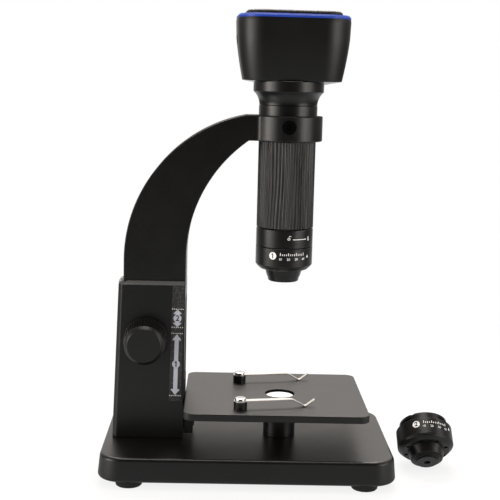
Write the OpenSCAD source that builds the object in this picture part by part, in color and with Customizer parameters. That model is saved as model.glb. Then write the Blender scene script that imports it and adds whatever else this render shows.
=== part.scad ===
// Digital microscope on a curved stand, with a rack-driven stage and a spare lens beside it.
// Millimetres, +Z up, the floor at Z = 0. The stand's column is at -X and the viewer stands at -Y.

/* [Base] */
// Width of the base along its top edge
base_w = 180; // [160:1:210]
// Depth of the base along its top edge
base_d = 108; // [96:1:130]
// Thickness of the base
base_t = 15; // [13:0.5:20]
// Radius of the base's upright corners
base_r = 14; // [8:1:20]
// How far each side of the base leans out towards the floor
base_lean = 1.1; // [0.5:0.1:2]
// Chamfer around the top edge of the base
base_edge = 1.2; // [0.6:0.1:2]
// Thickness of the base's side walls and top
base_wall = 3; // [2.5:0.25:4]
// Thickness of the plate that closes the base from below
plate_t = 2; // [1.5:0.25:3]
// Height of the rubber feet
foot_h = 4.2; // [3.6:0.2:7]
// Radius of a foot where it meets the floor
foot_r = 6.7; // [5:0.1:8]
// Radius of a foot where it meets the base
foot_top_r = 8.4; // [8:0.1:9]
// Distance of a foot's centre from the side of the base
foot_in_x = 18.2; // [16:0.2:24]
// Distance of a foot's centre from the front or the back of the base
foot_in_y = 9.4; // [9:0.2:14]

/* [Column] */
// Distance from the left side of the base to the column's rear foot
col_in = 4.6; // [3:0.1:8]
// Width of the column under its bevel
col_w_top = 41.7; // [41:0.1:46]
// Width of the column at the base
col_w_bot = 45.1; // [43:0.1:49]
// Depth of the column
col_d = 30; // [28:0.5:36]
// Height of the column from the base to its bevel
col_h = 98.6; // [96:0.2:110]
// Height of the bevel at the top of the column
bevel_h = 2.5; // [1.5:0.1:4]
// How far the bevel draws in
bevel_in = 3; // [2:0.1:4]
// Chamfer along the column's two rear edges
col_edge = 2.4; // [1:0.1:3]
// Thickness of the column's walls
col_wall = 3; // [2.5:0.25:3.5]
// Thickness of the column's floor
col_floor = 6; // [5:0.5:8]
// Thickness of the solid head of the column, below its bevel
col_head = 8; // [7:0.5:10]
// Width of the slot for the stage carriage
slot_w = 18; // [16:0.5:20]
// Distance from the bevel down to the top of the slot
slot_drop = 9; // [8.5:0.25:12]

/* [Arm] */
// Depth of the arm
arm_d = 24; // [22:0.5:26]
// Radius of the arm's outer curve
arm_outer_r = 92.3; // [90:0.1:94]
// How far above the ring the arm's outer curve would reach
arm_outer_over = 1.8; // [1:0.1:3]
// Radius of the arm's inner curve
arm_inner_r = 90.2; // [88:0.1:92]
// How far above the ring the arm's inner curve would reach
arm_inner_over = 1.7; // [1:0.1:3]
// Height of the ring that holds the tube
ring_h = 15.5; // [14:0.1:18]
// Outer radius of the ring
ring_r = 21.6; // [21.2:0.1:23]
// Height of the ring's lower face above the base
ring_z = 188.8; // [186:0.2:192]
// Radius of the blend between the arm and the ring
blend_r = 4; // [3:0.25:5]
// Depth of the tenon that plugs the arm into the column
tenon_h = 8; // [6:0.5:9]
// Length of the tenon
tenon_w = 14; // [10:0.5:16]
// Radius of the clamp screw in the ring
clamp_r = 4.25; // [3:0.05:4.6]

/* [Stage] */
// Width of the stage plate
stage_w = 113.3; // [106:0.1:118]
// Depth of the stage plate
stage_d = 96.4; // [92:0.1:104]
// Thickness of the stage plate
stage_t = 4.5; // [4:0.1:6]
// Corner radius of the stage plate
stage_r = 6; // [3:0.25:8]
// Chamfer around the edges of the stage plate
stage_edge = 0.5; // [0.3:0.05:0.8]
// Height of the stage's top above the base, at its lowest
stage_z = 26.6; // [25:0.1:34]
// Travel of the stage
stage_travel = 50; // [30:1:50]
// Radius of the light hole
hole_r = 9.2; // [6:0.1:9.6]
// How deep the white disc lies below the stage's top
disc_drop = 1.7; // [1:0.1:2]
// Distance of the clips' pivots from the tube's axis, towards the column
clip_x = 25.8; // [20:0.1:28]
// Distance of the near clip's pivot in front of the tube's axis
clip_near_y = 35.5; // [32:0.1:40]
// Distance of the far clip's pivot behind the tube's axis
clip_far_y = 24.5; // [22:0.1:30]
// Angle at which the clips lie
clip_angle = 12.5; // [0:0.5:20]
// Length of a clip's level stretch
clip_flat = 31; // [26:0.5:34]
// Reach of a clip from its pivot to its lowest point
clip_reach = 38.7; // [36:0.1:42]
// Reach of a clip from its pivot to its tip
clip_tip = 44.4; // [43:0.1:48]
// Width of a clip near its pivot
clip_w = 5.6; // [4:0.1:7]
// Width of a clip at its tip
clip_tip_w = 2.8; // [2:0.1:3.6]
// Thickness of the spring sheet of a clip
clip_t = 0.5; // [0.4:0.05:0.7]
// Radius of a clip post
post_r = 3.95; // [3.5:0.05:4.5]
// Height of a clip post
post_h = 5.4; // [5:0.1:7]
// Radius of the bright cap screw of a clip
cap_r = 3; // [2.5:0.1:3.4]
// Height of the head of a cap screw
cap_h = 2; // [1.5:0.1:3]
// Radius of the lamp under the stage
lamp_r = 10.2; // [10:0.1:12]
// Wall of the lamp housing
lamp_wall = 1.6; // [1.3:0.1:2]

/* [Focus drive] */
// Distance of the knobs' shaft behind the column's front face
shaft_back = 24.2; // [23.5:0.1:25]
// Height of the knobs' shaft above the base
shaft_z = 63.8; // [61:0.2:68]
// Radius of the shaft
shaft_r = 3; // [2.5:0.05:3.5]
// Tooth module of the rack and the pinion
tooth_m = 1; // [0.9:0.05:1]
// Number of teeth on the pinion
pinion_teeth = 16; // [14:1:16]
// Width of the pinion
pinion_w = 9; // [6:0.5:12]
// Width of the rack
rack_w = 8; // [6:0.5:9]
// Length of a focus knob
knob_len = 17; // [14:0.5:20]
// Radius of a knob next to the column
knob_r = 14.2; // [13:0.1:16]
// Radius of a knob at its front rim
knob_front_r = 12.2; // [11:0.1:13]
// Radius of the flat face of a knob
knob_face_r = 10.3; // [9:0.1:10.8]
// Number of grip grooves around a knob
knob_grips = 36; // [24:1:48]
// Radius of the two guide rods
rod_r = 2; // [1.5:0.1:2.5]
// Height of the stage carriage
carriage_h = 30; // [26:0.5:31]

/* [Tube] */
// Distance of the tube's axis in front of the column
axis_out = 61.2; // [58:0.1:64]
// Radius of the smooth barrel
barrel_r = 18.1; // [18:0.05:18.3]
// Height of the barrel's collar above the ring
barrel_up = 6; // [5:0.1:8]
// Radius of the thin part of the barrel inside the focus sleeve
tube_r = 15; // [14.8:0.05:15.1]
// Wall of the thin part of the barrel
tube_wall = 1.6; // [1.4:0.1:1.8]
// Radius of the ribbed focus sleeve over its ribs
sleeve_r = 17.75; // [17.4:0.05:17.9]
// Length of the focus sleeve
sleeve_h = 53.6; // [50:0.2:56]
// Number of ribs around the focus sleeve
sleeve_ribs = 60; // [40:1:72]
// Depth of the grooves between the ribs
rib_depth = 0.45; // [0.3:0.05:0.6]
// Radius of the lens mount
mount_r = 17.8; // [17.4:0.05:17.95]
// Height of the lens mount
mount_h = 11.8; // [11:0.1:13]
// Radius of the neck's upper rim
neck_r = 21.8; // [21.2:0.1:23]
// Height of the neck's rim
neck_rim_h = 4.8; // [4:0.1:6]
// Height of the neck's hollow flare
flare_h = 8.2; // [7:0.1:10]
// Radius of the neck at the foot of its flare
flare_r = 17.95; // [17.6:0.05:18.2]

/* [Head] */
// Width of the head
head_w = 69.2; // [66:0.2:76]
// Depth of the head
head_d = 48; // [46:0.5:54]
// Height of the head's shell
head_h = 39; // [38:0.2:44]
// Radius of the head's upright corners
head_r = 14; // [12:0.5:16]
// Distance of the head's middle from the tube's axis
head_off = 1.6; // [0:0.1:3]
// How far the head draws in at its foot
head_tuck = 4.9; // [3:0.1:6]
// Height over which the head draws in
tuck_h = 20; // [16:0.5:22]
// Thickness of the head's walls
head_wall = 2.2; // [1.8:0.1:2.6]
// Height of the coloured trim ring
trim_h = 2.3; // [1.5:0.1:3]
// Width of the coloured trim ring, seen from above
trim_w = 5; // [4:0.1:6]
// Height of the top cover above the trim ring
cover_h = 2.5; // [1.5:0.1:3]
// Chamfer of the top cover
cover_edge = 1.2; // [0.5:0.1:1.4]
// Radius of the buttons in the top cover
button_r = 4.5; // [3.5:0.1:5]
// Distance between neighbouring buttons
button_gap = 15; // [13:0.5:16]
// Travel of a button
button_travel = 0.8; // [0.4:0.1:0.9]

/* [Lenses] */
// Radius of a lens body
lens_r = 17.85; // [17.5:0.05:18]
// Height of a lens body
lens_h = 11.3; // [10.5:0.1:13]
// Radius of the bayonet skirt of a lens
skirt_r = 15.2; // [15:0.05:15.4]
// Height of the bayonet skirt
skirt_h = 6.3; // [6:0.1:7]
// Wall of the bayonet skirt
skirt_wall = 1.2; // [1:0.05:1.3]
// Angle of the lens twist between locked and free
twist = 49; // [40:1:55]
// Radius of the lens nose where it leaves the body
nose_r = 11.75; // [11.7:0.05:12]
// Radius of the lens nose at its rim
nose_rim_r = 10.2; // [9.8:0.05:10.6]
// Length of the lens nose down to its rim
nose_h = 5.6; // [5:0.1:7]
// Length of the stepped end of the nose
nose_end = 2.4; // [2:0.1:3]
// Radius of the opening in the nose
nose_hole_r = 2; // [1.5:0.1:4]
// Number of lamps around a lens nose
lens_leds = 8; // [6:1:8]
// Clear space between the base and the spare lens
spare_gap = 6.5; // [3:0.5:10]
// Distance of the spare lens in front of the tube's axis
spare_y = 8; // [-10:1:30]

/* [Fits] */
// Radial clearance of parts that turn or slide in each other
run_fit = 0.06; // [0.04:0.01:0.1]
// Clearance of parts that are fixed in each other
seat_fit = 0.05; // [0.03:0.01:0.1]
// Gap between parts that pass each other
pass_gap = 0.4; // [0.3:0.05:0.6]
// Radius of the larger screws
screw_r = 2; // [1.5:0.1:2.2]
// Radius of the smaller screws
small_screw_r = 1.2; // [1:0.1:1.3]

/* [Label] */
// Width of the scale label on the column
label_w = 7.4; // [6:0.1:9]
// Length of the scale label
label_h = 73.6; // [60:0.2:76]
// Thickness of the scale label
label_t = 0.25; // [0.15:0.05:0.4]
// Slant of the scale label
label_slant = 1.1; // [0:0.1:2]
// Distance of the label's upper corner from the column's front edge
label_in = 0.5; // [0.3:0.1:3]

/* [Hidden] */
$fn = 64;
eps = 0.01;
// Heights that stack up from the floor
base_top = foot_h + base_t;
col_top = base_top + col_h;
foot_top = col_top + bevel_h;
ring_bot = base_top + ring_z;
ring_top = ring_bot + ring_h;
barrel_top = ring_top + barrel_up;
neck_bot = barrel_top + 0.4;
head_bot = neck_bot + flare_h + neck_rim_h;
head_top = head_bot + head_h;
trim_top = head_top + trim_h;
cover_top = trim_top + cover_h;
sleeve_top = ring_bot - 0.6;
sleeve_bot = sleeve_top - sleeve_h;
mount_top = sleeve_bot - 0.3;
mount_bot = mount_top - mount_h;
lens_top = mount_bot - 0.25;
stage_top = base_top + stage_z;
stage_bot = stage_top - stage_t;
// The column and what runs in it
col_front = col_in + col_w_bot - base_w / 2;
axis_x = col_front + axis_out;
arm_back = col_front - col_w_top + bevel_in;
shaft_x = col_front - shaft_back;
shaft_h = base_top + shaft_z;
pitch_r = tooth_m * pinion_teeth / 2;
rack_pitch_x = shaft_x + pitch_r;
rack_root_x = rack_pitch_x + 1.25 * tooth_m;
rack_web = 2.75;
rack_back_x = rack_root_x + rack_web;
carriage_lift = 1.5;
carriage_z = base_top + col_floor + carriage_lift;
rack_under = 5;
rack_over = 6;
rack_bot = shaft_h - stage_travel - rack_under;
rack_top = shaft_h + rack_over;
rack_slack = 0.7;
front_extra = 0.5;
rear_extra = 1.2;
cav_x1 = col_front - col_wall - front_extra;
cav_x0 = col_front - col_w_top + col_wall + rear_extra;
cav_d = col_d - 2 * col_wall;
cav_bot = base_top + col_floor;
cav_top = col_top - col_head;
rod_in = 4.4;
rod_side = 4;
rod_x = cav_x1 - rod_in;
rod_y = cav_d / 2 - rod_side;
neck_out = 0.35;
neck_front = col_front + neck_out;
// The stage and its lamp
stage_gap = 0.6;
stage_x0 = col_front + stage_gap;
bracket_t = 5.2;
ledge_t = 4;
ledge_l = 26;
ledge_x1 = stage_x0 + ledge_l;
ledge_side = 6;
bracket_in = 1;
bracket_w = col_d - 2 * bracket_in;
bracket_gap = 3.3;
bracket_bot = base_top + bracket_gap;
lamp_seat = 1;
lamp_gap = 0.3;
lamp_bot = base_top + lamp_gap;
lamp_in = lamp_r - lamp_wall;
cap_plug = 3;
cap_plate = 1.2;
clip_pin_r = 1.5;
clip_drop = 0.25;
// The ring and its liner
liner_r = ring_r - 2.35;
ring_lip_r = barrel_r + 0.3;
ring_lip_h = 1.2;
clamp_z = ring_top - 6.6;
// The head
head_x = axis_x + head_off;
function tuck(h) = head_tuck * pow(max(0, 1 - h / tuck_h), 2);
head_floor = 3;
cover_in = trim_w;
post_top = head_top - 8;
board_z = head_bot + 19;
light_r = 10;
// The lenses
pin_r = 0.9;
pin_z = 3.2;
pin_turn = 20;
chamfer_h = 2.7;
chamfer_in = 2.75;
flange_r = lens_r - chamfer_in;
cup_r = skirt_r - skirt_wall;
cell_r = 7;
cell_in = 5.5;
cup_floor = -lens_h + 0.8;
led_r = (nose_r + cup_r) / 2;
nose_z0 = -lens_h - chamfer_h - 0.4;
rim_drop = -nose_z0 - lens_h + nose_h;
rest_angle = atan2(lens_r - nose_rim_r, rim_drop);
spare_x = base_w / 2 + base_lean + spare_gap + lens_r;
// Height of the middle of the body's lower edge, when the lens rests on that edge and its nose's rim
spare_z = lens_r * cos(rest_angle) + 0.05;
// The whole set is centred on the origin
set_x = (spare_x + lens_r - base_w / 2 - base_lean) / 2;

// Shapes that repeat

// A block with upright round corners; its lower edge stands out by grow on every side
module slab(w, d, r, h, grow = 0) {
  rotate([90, 0, 0])
    linear_extrude(d - 2 * r, center = true)
      polygon([[-w / 2 - grow, 0], [w / 2 + grow, 0], [w / 2, h], [-w / 2, h]]);
  rotate([90, 0, 90])
    linear_extrude(w - 2 * r, center = true)
      polygon([[-d / 2 - grow, 0], [d / 2 + grow, 0], [d / 2, h], [-d / 2, h]]);
  for (x = [-1, 1], y = [-1, 1])
    translate([x * (w / 2 - r), y * (d / 2 - r), 0])
      cylinder(h = h, r1 = r + grow, r2 = r);
}

// A plain block with upright round corners
module block(w, d, r, h) {
  linear_extrude(h)
    union() {
      square([w - 2 * r, d], center = true);
      square([w, d - 2 * r], center = true);
      for (x = [-1, 1], y = [-1, 1])
        translate([x * (w / 2 - r), y * (d / 2 - r)])
          circle(r);
    }
}

// A tube or, with no bore, a rod
module tube(r, h, bore = 0) {
  difference() {
    cylinder(h = h, r = r);
    if (bore > 0)
      translate([0, 0, -eps])
        cylinder(h = h + 2 * eps, r = bore);
  }
}

// A screw with its head's underside at the origin and its shank along +Z
module screw(r, len, head_r, head_t) {
  difference() {
    union() {
      cylinder(h = len, r = r);
      translate([0, 0, -head_t])
        cylinder(h = head_t, r = head_r);
    }
    translate([0, 0, -head_t - eps])
      cylinder(h = head_t * 0.6, r = head_r * 0.5, $fn = 6);
  }
}

module at_feet() {
  for (x = [-1, 1], y = [-1, 1])
    translate([x * (base_w / 2 - foot_in_x), y * (base_d / 2 - foot_in_y), 0])
      children();
}

// Base

module base_shell() {
  cav_w = base_w - 2 * base_wall;
  cav_l = base_d - 2 * base_wall;
  cav_h = base_t - base_wall;
  color([0.11, 0.11, 0.12]) {
    difference() {
      union() {
        translate([0, 0, foot_h])
          slab(base_w, base_d, base_r, base_t - base_edge, base_lean);
        translate([0, 0, base_top - base_edge])
          slab(base_w - 2 * base_edge, base_d - 2 * base_edge, base_r - base_edge, base_edge, base_edge);
      }
      translate([0, 0, foot_h - eps])
        block(cav_w, cav_l, base_r - base_wall, cav_h + eps);
      at_column_screws()
        translate([0, 0, base_top - base_wall - eps])
          cylinder(h = base_wall + 2 * eps, r = screw_r + seat_fit);
    }
    at_feet()
      translate([0, 0, foot_h + plate_t])
        tube(boss_r, cav_h - plate_t, small_screw_r + seat_fit);
  }
}

boss_r = 5.2;

module base_bottom_plate() {
  gap = base_wall + 0.15;
  color([0.3, 0.3, 0.32])
    difference() {
      translate([0, 0, foot_h])
        block(base_w - 2 * gap, base_d - 2 * gap, base_r - gap, plate_t - seat_fit);
      at_feet()
        translate([0, 0, foot_h - eps])
          cylinder(h = plate_t + 2 * eps, r = small_screw_r + seat_fit);
    }
}

foot_recess = 2.2;

module rubber_feet() {
  color([0.06, 0.06, 0.06])
    at_feet()
      difference() {
        cylinder(h = foot_h - seat_fit, r1 = foot_r, r2 = foot_top_r);
        translate([0, 0, -eps])
          cylinder(h = foot_h + 2 * eps, r = small_screw_r + seat_fit);
        translate([0, 0, -eps])
          cylinder(h = foot_recess, r = 2.2 * small_screw_r + 0.2);
      }
}

module foot_screws() {
  color([0.6, 0.6, 0.62])
    at_feet()
      translate([0, 0, foot_recess - seat_fit])
        screw(small_screw_r, foot_h + plate_t + 5 - foot_recess, 2.2 * small_screw_r, 1.2);
}

// Column

module at_column_screws() {
  for (x = [cav_x0 + 5, cav_x1 - 12], y = [-1, 1])
    translate([x, y * (cav_d / 2 - 4.5), 0])
      children();
}

// The column's outline without its hollows
module column_block() {
  rotate([90, 0, 0])
    linear_extrude(col_d, center = true)
      polygon([[col_front - col_w_bot, base_top], [col_front, base_top],
        [col_front, col_top], [col_front - col_w_top, col_top]]);
  intersection() {
    rotate([90, 0, 0])
      linear_extrude(col_d, center = true)
        polygon([[col_front - col_w_top, col_top - eps], [col_front, col_top - eps],
          [col_front, foot_top], [arm_back, foot_top]]);
    rotate([90, 0, 90])
      translate([0, 0, col_front - col_w_top - 1])
        linear_extrude(col_w_top + 2)
          polygon([[-col_d / 2, col_top - eps], [col_d / 2, col_top - eps],
            [arm_d / 2, foot_top], [-arm_d / 2, foot_top]]);
  }
}

// A long square bar whose corner runs along a rear edge of the column
module rear_edge_cut(side) {
  lean = atan2(col_w_bot - col_w_top, col_h);
  translate([col_front - col_w_bot, side * col_d / 2, base_top])
    rotate([0, lean, 0])
      rotate([0, 0, 45])
        translate([-col_edge / sqrt(2), -col_edge / sqrt(2), -5])
          cube([col_edge * sqrt(2), col_edge * sqrt(2), col_h + 20]);
}

// Room for the rack above the column's hollow
module rack_room(z0, z1) {
  x0 = rack_pitch_x - tooth_m - rack_slack;
  translate([x0, -rack_w / 2 - rack_slack, z0])
    cube([rack_back_x + rack_slack - x0, rack_w + 2 * rack_slack, z1 - z0]);
}

tenon_x0 = arm_back + 3;
tenon_d = 16;
arm_screw_z = foot_top - tenon_h / 2 - 1;
arm_screw_y = 4.5;
// Where the heads of the arm's screws bear on the column
arm_screw_x = col_front - col_w_top + 1.6;

module column() {
  color([0.12, 0.12, 0.13])
    difference() {
      column_block();
      for (s = [-1, 1])
        rear_edge_cut(s);
      translate([cav_x0, -cav_d / 2, cav_bot])
        cube([cav_x1 - cav_x0, cav_d, cav_top - cav_bot]);
      translate([cav_x1 - eps, -slot_w / 2, base_top - eps])
        cube([col_front - cav_x1 + 1, slot_w, col_top - slot_drop - base_top]);
      for (s = [-1, 1])
        translate([shaft_x, s * (col_d / 2 - col_wall - eps), shaft_h])
          rotate([-90 * s, 0, 0])
            cylinder(h = col_wall + 1, r = shaft_r + bush_wall + seat_fit);
      translate([tenon_x0 - seat_fit, -tenon_d / 2 - seat_fit, foot_top - tenon_h - 0.1])
        cube([tenon_w + 2 * seat_fit, tenon_d + 2 * seat_fit, tenon_h + 1]);
      for (s = [-1, 1])
        translate([col_front - col_w_top - 1, s * arm_screw_y, arm_screw_z])
          rotate([0, 90, 0])
            cylinder(h = 12, r = screw_r + seat_fit);
      for (s = [-1, 1])
        translate([arm_screw_x - 4, s * arm_screw_y, arm_screw_z])
          rotate([0, 90, 0])
            cylinder(h = 4, r = 1.8 * screw_r + 0.2);
      rack_room(cav_top - 1, foot_top + 1);
      for (s = [-1, 1])
        translate([rod_x, s * rod_y, cav_bot - 3])
          cylinder(h = cav_top - cav_bot + 7, r = rod_r + seat_fit);
      at_column_screws()
        translate([0, 0, base_top - eps])
          cylinder(h = col_floor - 0.8, r = screw_r + seat_fit);
    }
}

module column_screws() {
  color([0.6, 0.6, 0.62])
    at_column_screws()
      translate([0, 0, base_top - base_wall - seat_fit])
        screw(screw_r, base_wall + col_floor - 1.2, 1.8 * screw_r, 2.2);
}

module guide_rods() {
  color([0.72, 0.72, 0.74])
    for (s = [-1, 1])
      translate([rod_x, s * rod_y, cav_bot - 2.9])
        cylinder(h = cav_top - cav_bot + 6.7, r = rod_r);
}

bush_wall = 1.5;

module shaft_bushes() {
  color([0.75, 0.62, 0.3])
    for (s = [-1, 1])
      translate([shaft_x, 0, shaft_h])
        rotate([-90 * s, 0, 0])
          difference() {
            union() {
              translate([0, 0, col_d / 2 - col_wall - 1.2])
                cylinder(h = 1.2 - seat_fit, r = shaft_r + bush_wall + 1.4);
              translate([0, 0, col_d / 2 - col_wall - 1.2])
                cylinder(h = col_wall + 1.2, r = shaft_r + bush_wall);
            }
            translate([0, 0, cav_d / 4])
              cylinder(h = col_d, r = shaft_r + run_fit);
          }
}

module scale_label() {
  color([0.24, 0.24, 0.25])
    translate([col_front - label_in, -col_d / 2 - 0.02, col_top - 0.3])
      rotate([0, label_slant, 0])
        translate([-label_w, -label_t, -label_h])
          cube([label_w, label_t, label_h]);
}

// Arm

// The arm seen from the side, as a flat shape
module arm_outline() {
  outer_z = ring_top + arm_outer_over - arm_outer_r;
  inner_z = ring_top + arm_inner_over - arm_inner_r;
  difference() {
    intersection() {
      translate([arm_back, foot_top])
        square([axis_x - arm_back, ring_top - foot_top]);
      union() {
        translate([arm_back + arm_outer_r, outer_z])
          circle(arm_outer_r, $fn = 180);
        translate([arm_back, foot_top - 1])
          square([arm_outer_r, outer_z - foot_top + 1]);
      }
    }
    intersection() {
      union() {
        translate([col_front + arm_inner_r, inner_z])
          circle(arm_inner_r, $fn = 180);
        translate([col_front, foot_top - 1])
          square([2 * arm_inner_r, inner_z - foot_top + 1]);
      }
      translate([col_front - 1, foot_top - 2])
        square([axis_x - col_front + ring_r, ring_bot - foot_top + 2]);
    }
  }
}

// Hollow blend on one side of the arm where it runs into the ring
module arm_blend(side) {
  cy = arm_d / 2 + blend_r;
  cx = sqrt(pow(ring_r + blend_r, 2) - pow(cy, 2));
  k = ring_r / (ring_r + blend_r);
  translate([axis_x, 0, ring_bot])
    linear_extrude(ring_h)
      difference() {
        polygon([[-cx, side * (arm_d / 2 - 2)], [-cx, side * cy], [-cx * k, side * cy * k],
          [-cx * k + 2, side * (arm_d / 2 - 2)]]);
        translate([-cx, side * cy])
          circle(blend_r + 0.03);
      }
}

module arm() {
  color([0.1, 0.1, 0.11])
    difference() {
      union() {
        rotate([90, 0, 0])
          linear_extrude(arm_d, center = true)
            arm_outline();
        translate([axis_x, 0, ring_bot])
          cylinder(h = ring_h, r = ring_r);
        for (s = [-1, 1])
          arm_blend(s);
        translate([tenon_x0, -tenon_d / 2, foot_top - tenon_h])
          cube([tenon_w, tenon_d, tenon_h + 1]);
      }
      translate([axis_x, 0, ring_bot + ring_lip_h])
        cylinder(h = ring_h, r = liner_r + run_fit);
      translate([axis_x, 0, ring_bot - 1])
        cylinder(h = ring_h, r = ring_lip_r);
      translate([axis_x, -ring_r - 1, clamp_z])
        rotate([-90, 0, 0])
          cylinder(h = 6, r = clamp_r + run_fit);
      rack_room(foot_top - 1, rack_top + stage_travel + 3);
      for (s = [-1, 1])
        translate([tenon_x0 - 1, s * arm_screw_y, arm_screw_z])
          rotate([0, 90, 0])
            cylinder(h = 9, r = screw_r + seat_fit);
    }
}

module arm_screws() {
  color([0.2, 0.2, 0.21])
    for (s = [-1, 1])
      translate([arm_screw_x - seat_fit, s * arm_screw_y, arm_screw_z])
        rotate([0, 90, 0])
          screw(screw_r, tenon_x0 + 6 - arm_screw_x, 1.8 * screw_r, 1.8);
}

module ring_liner() {
  color([0.16, 0.16, 0.17])
    translate([axis_x, 0, ring_bot + ring_lip_h + 0.1])
      tube(liner_r, ring_h - ring_lip_h - 0.3, barrel_r + run_fit);
}

clamp_in = 0.2;

module clamp_screw() {
  color([0.05, 0.05, 0.05])
    translate([axis_x, -liner_r - clamp_in, clamp_z])
      rotate([90, 0, 0])
        difference() {
          cylinder(h = ring_r - liner_r - clamp_in - 0.7, r = clamp_r);
          translate([0, 0, 0.5])
            cylinder(h = 3, r = 2.2, $fn = 6);
        }
}

// Stage and its drive

module stage_carriage() {
  x0 = rack_back_x + seat_fit;
  x1 = cav_x1 - pass_gap;
  color([0.16, 0.16, 0.17])
    difference() {
      union() {
        translate([x0, -cav_d / 2 + pass_gap, carriage_z])
          cube([x1 - x0, cav_d - 2 * pass_gap, carriage_h]);
        translate([x1 - 1, -slot_w / 2 + pass_gap, carriage_z])
          cube([neck_front - x1 + 1, slot_w - 2 * pass_gap, carriage_h]);
      }
      for (s = [-1, 1])
        translate([rod_x, s * rod_y, carriage_z - 1])
          cylinder(h = carriage_h + 2, r = rod_r + run_fit);
      at_bracket_screws()
        cylinder(h = bracket_bite + pass_gap, r = small_screw_r + seat_fit);
    }
}

// One tooth space of the rack, seen from the side, around its pitch line
module rack_space() {
  half = PI * tooth_m / 4 + 0.12;
  t = tan(20);
  polygon([[-1.1 * tooth_m, -half - 1.1 * tooth_m * t], [-1.1 * tooth_m, half + 1.1 * tooth_m * t],
    [1.25 * tooth_m, half - 1.25 * tooth_m * t], [1.25 * tooth_m, -half + 1.25 * tooth_m * t]]);
}

module rack() {
  pitch = PI * tooth_m;
  up = floor((rack_top - shaft_h) / pitch);
  down = floor((shaft_h - rack_bot) / pitch);
  color([0.7, 0.7, 0.72])
    rotate([90, 0, 0])
      linear_extrude(rack_w, center = true)
        difference() {
          translate([rack_pitch_x - tooth_m, rack_bot])
            square([rack_back_x - rack_pitch_x + tooth_m, rack_top - rack_bot]);
          for (i = [-down : up])
            translate([rack_pitch_x, shaft_h + i * pitch])
              rack_space();
        }
}

bracket_screw_y = 4.5;
bracket_screw_z = 5;

module at_bracket_screws() {
  for (s = [-1, 1])
    translate([stage_x0 + bracket_t, s * bracket_screw_y, carriage_z + bracket_screw_z])
      rotate([0, -90, 0])
        translate([0, 0, bracket_t])
          children();
}

stage_screw_y = 14;
stage_bite = 3;
bracket_bite = 6;
screw_head = 1.5;
stage_screw_in = 18;
stage_screw_x = stage_x0 + stage_screw_in;

module stage_bracket() {
  x0 = neck_front + seat_fit;
  color([0.09, 0.09, 0.1])
    difference() {
      union() {
        translate([x0, -bracket_w / 2, bracket_bot])
          cube([stage_x0 + bracket_t - x0, bracket_w, stage_bot - seat_fit - bracket_bot]);
        translate([x0, -bracket_w / 2 - ledge_side, stage_bot - seat_fit - ledge_t])
          cube([ledge_x1 - x0, bracket_w + 2 * ledge_side, ledge_t]);
      }
      at_bracket_screws()
        translate([0, 0, -bracket_t - 1])
          cylinder(h = bracket_t + 3, r = small_screw_r + seat_fit);
      for (s = [-1, 1])
        translate([stage_screw_x, s * stage_screw_y, stage_bot - ledge_t - 1])
          cylinder(h = ledge_t + 2, r = small_screw_r + seat_fit);
    }
}

module bracket_screws() {
  color([0.55, 0.55, 0.57])
    at_bracket_screws()
      translate([0, 0, -bracket_t - seat_fit])
        screw(small_screw_r, bracket_t + bracket_bite - 2 * seat_fit, 2.2 * small_screw_r, screw_head);
}

module at_clips() {
  translate([axis_x - clip_x, -clip_near_y, stage_top])
    children();
  translate([axis_x - clip_x, clip_far_y, stage_top])
    children();
}

module stage_plate() {
  e = stage_edge;
  color([0.11, 0.11, 0.12])
    difference() {
      translate([stage_x0 + stage_w / 2, 0, stage_bot]) {
        slab(stage_w, stage_d, stage_r, e, -e);
        translate([0, 0, e])
          block(stage_w, stage_d, stage_r, stage_t - 2 * e);
        translate([0, 0, stage_t - e])
          slab(stage_w - 2 * e, stage_d - 2 * e, stage_r - e, e, e);
      }
      translate([axis_x, 0, stage_bot - 1])
        cylinder(h = stage_t + 2, r = hole_r);
      translate([axis_x, 0, stage_bot - 1])
        cylinder(h = lamp_seat + 1, r = lamp_r + seat_fit);
      at_clips()
        translate([0, 0, -3])
          cylinder(h = 4, r = clip_pin_r + seat_fit);
      for (s = [-1, 1])
        translate([stage_screw_x, s * stage_screw_y, stage_bot - eps])
          cylinder(h = stage_bite, r = small_screw_r + seat_fit);
    }
}

module stage_screws() {
  color([0.55, 0.55, 0.57])
    for (s = [-1, 1])
      translate([stage_screw_x, s * stage_screw_y, stage_bot - seat_fit - ledge_t - seat_fit])
        screw(small_screw_r, ledge_t + stage_bite - 4 * seat_fit, 2.2 * small_screw_r, screw_head);
}

module diffuser_disc() {
  z0 = stage_bot + lamp_seat;
  color([0.96, 0.96, 0.95])
    translate([axis_x, 0, z0])
      cylinder(h = stage_top - disc_drop - z0, r = hole_r - seat_fit);
}

module clip_posts() {
  color([0.05, 0.05, 0.05])
    at_clips()
      tube(post_r, post_h, clip_pin_r + seat_fit);
}

module clip_caps() {
  z0 = post_h + clip_t + 0.1;
  color([0.8, 0.8, 0.82])
    at_clips() {
      translate([0, 0, -2.9])
        cylinder(h = z0 + 3, r = clip_pin_r);
      translate([0, 0, z0])
        cylinder(h = cap_h - 0.5, r = cap_r);
      translate([0, 0, z0 + cap_h - 0.5])
        cylinder(h = 0.5, r1 = cap_r, r2 = cap_r - 0.5);
    }
}

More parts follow.
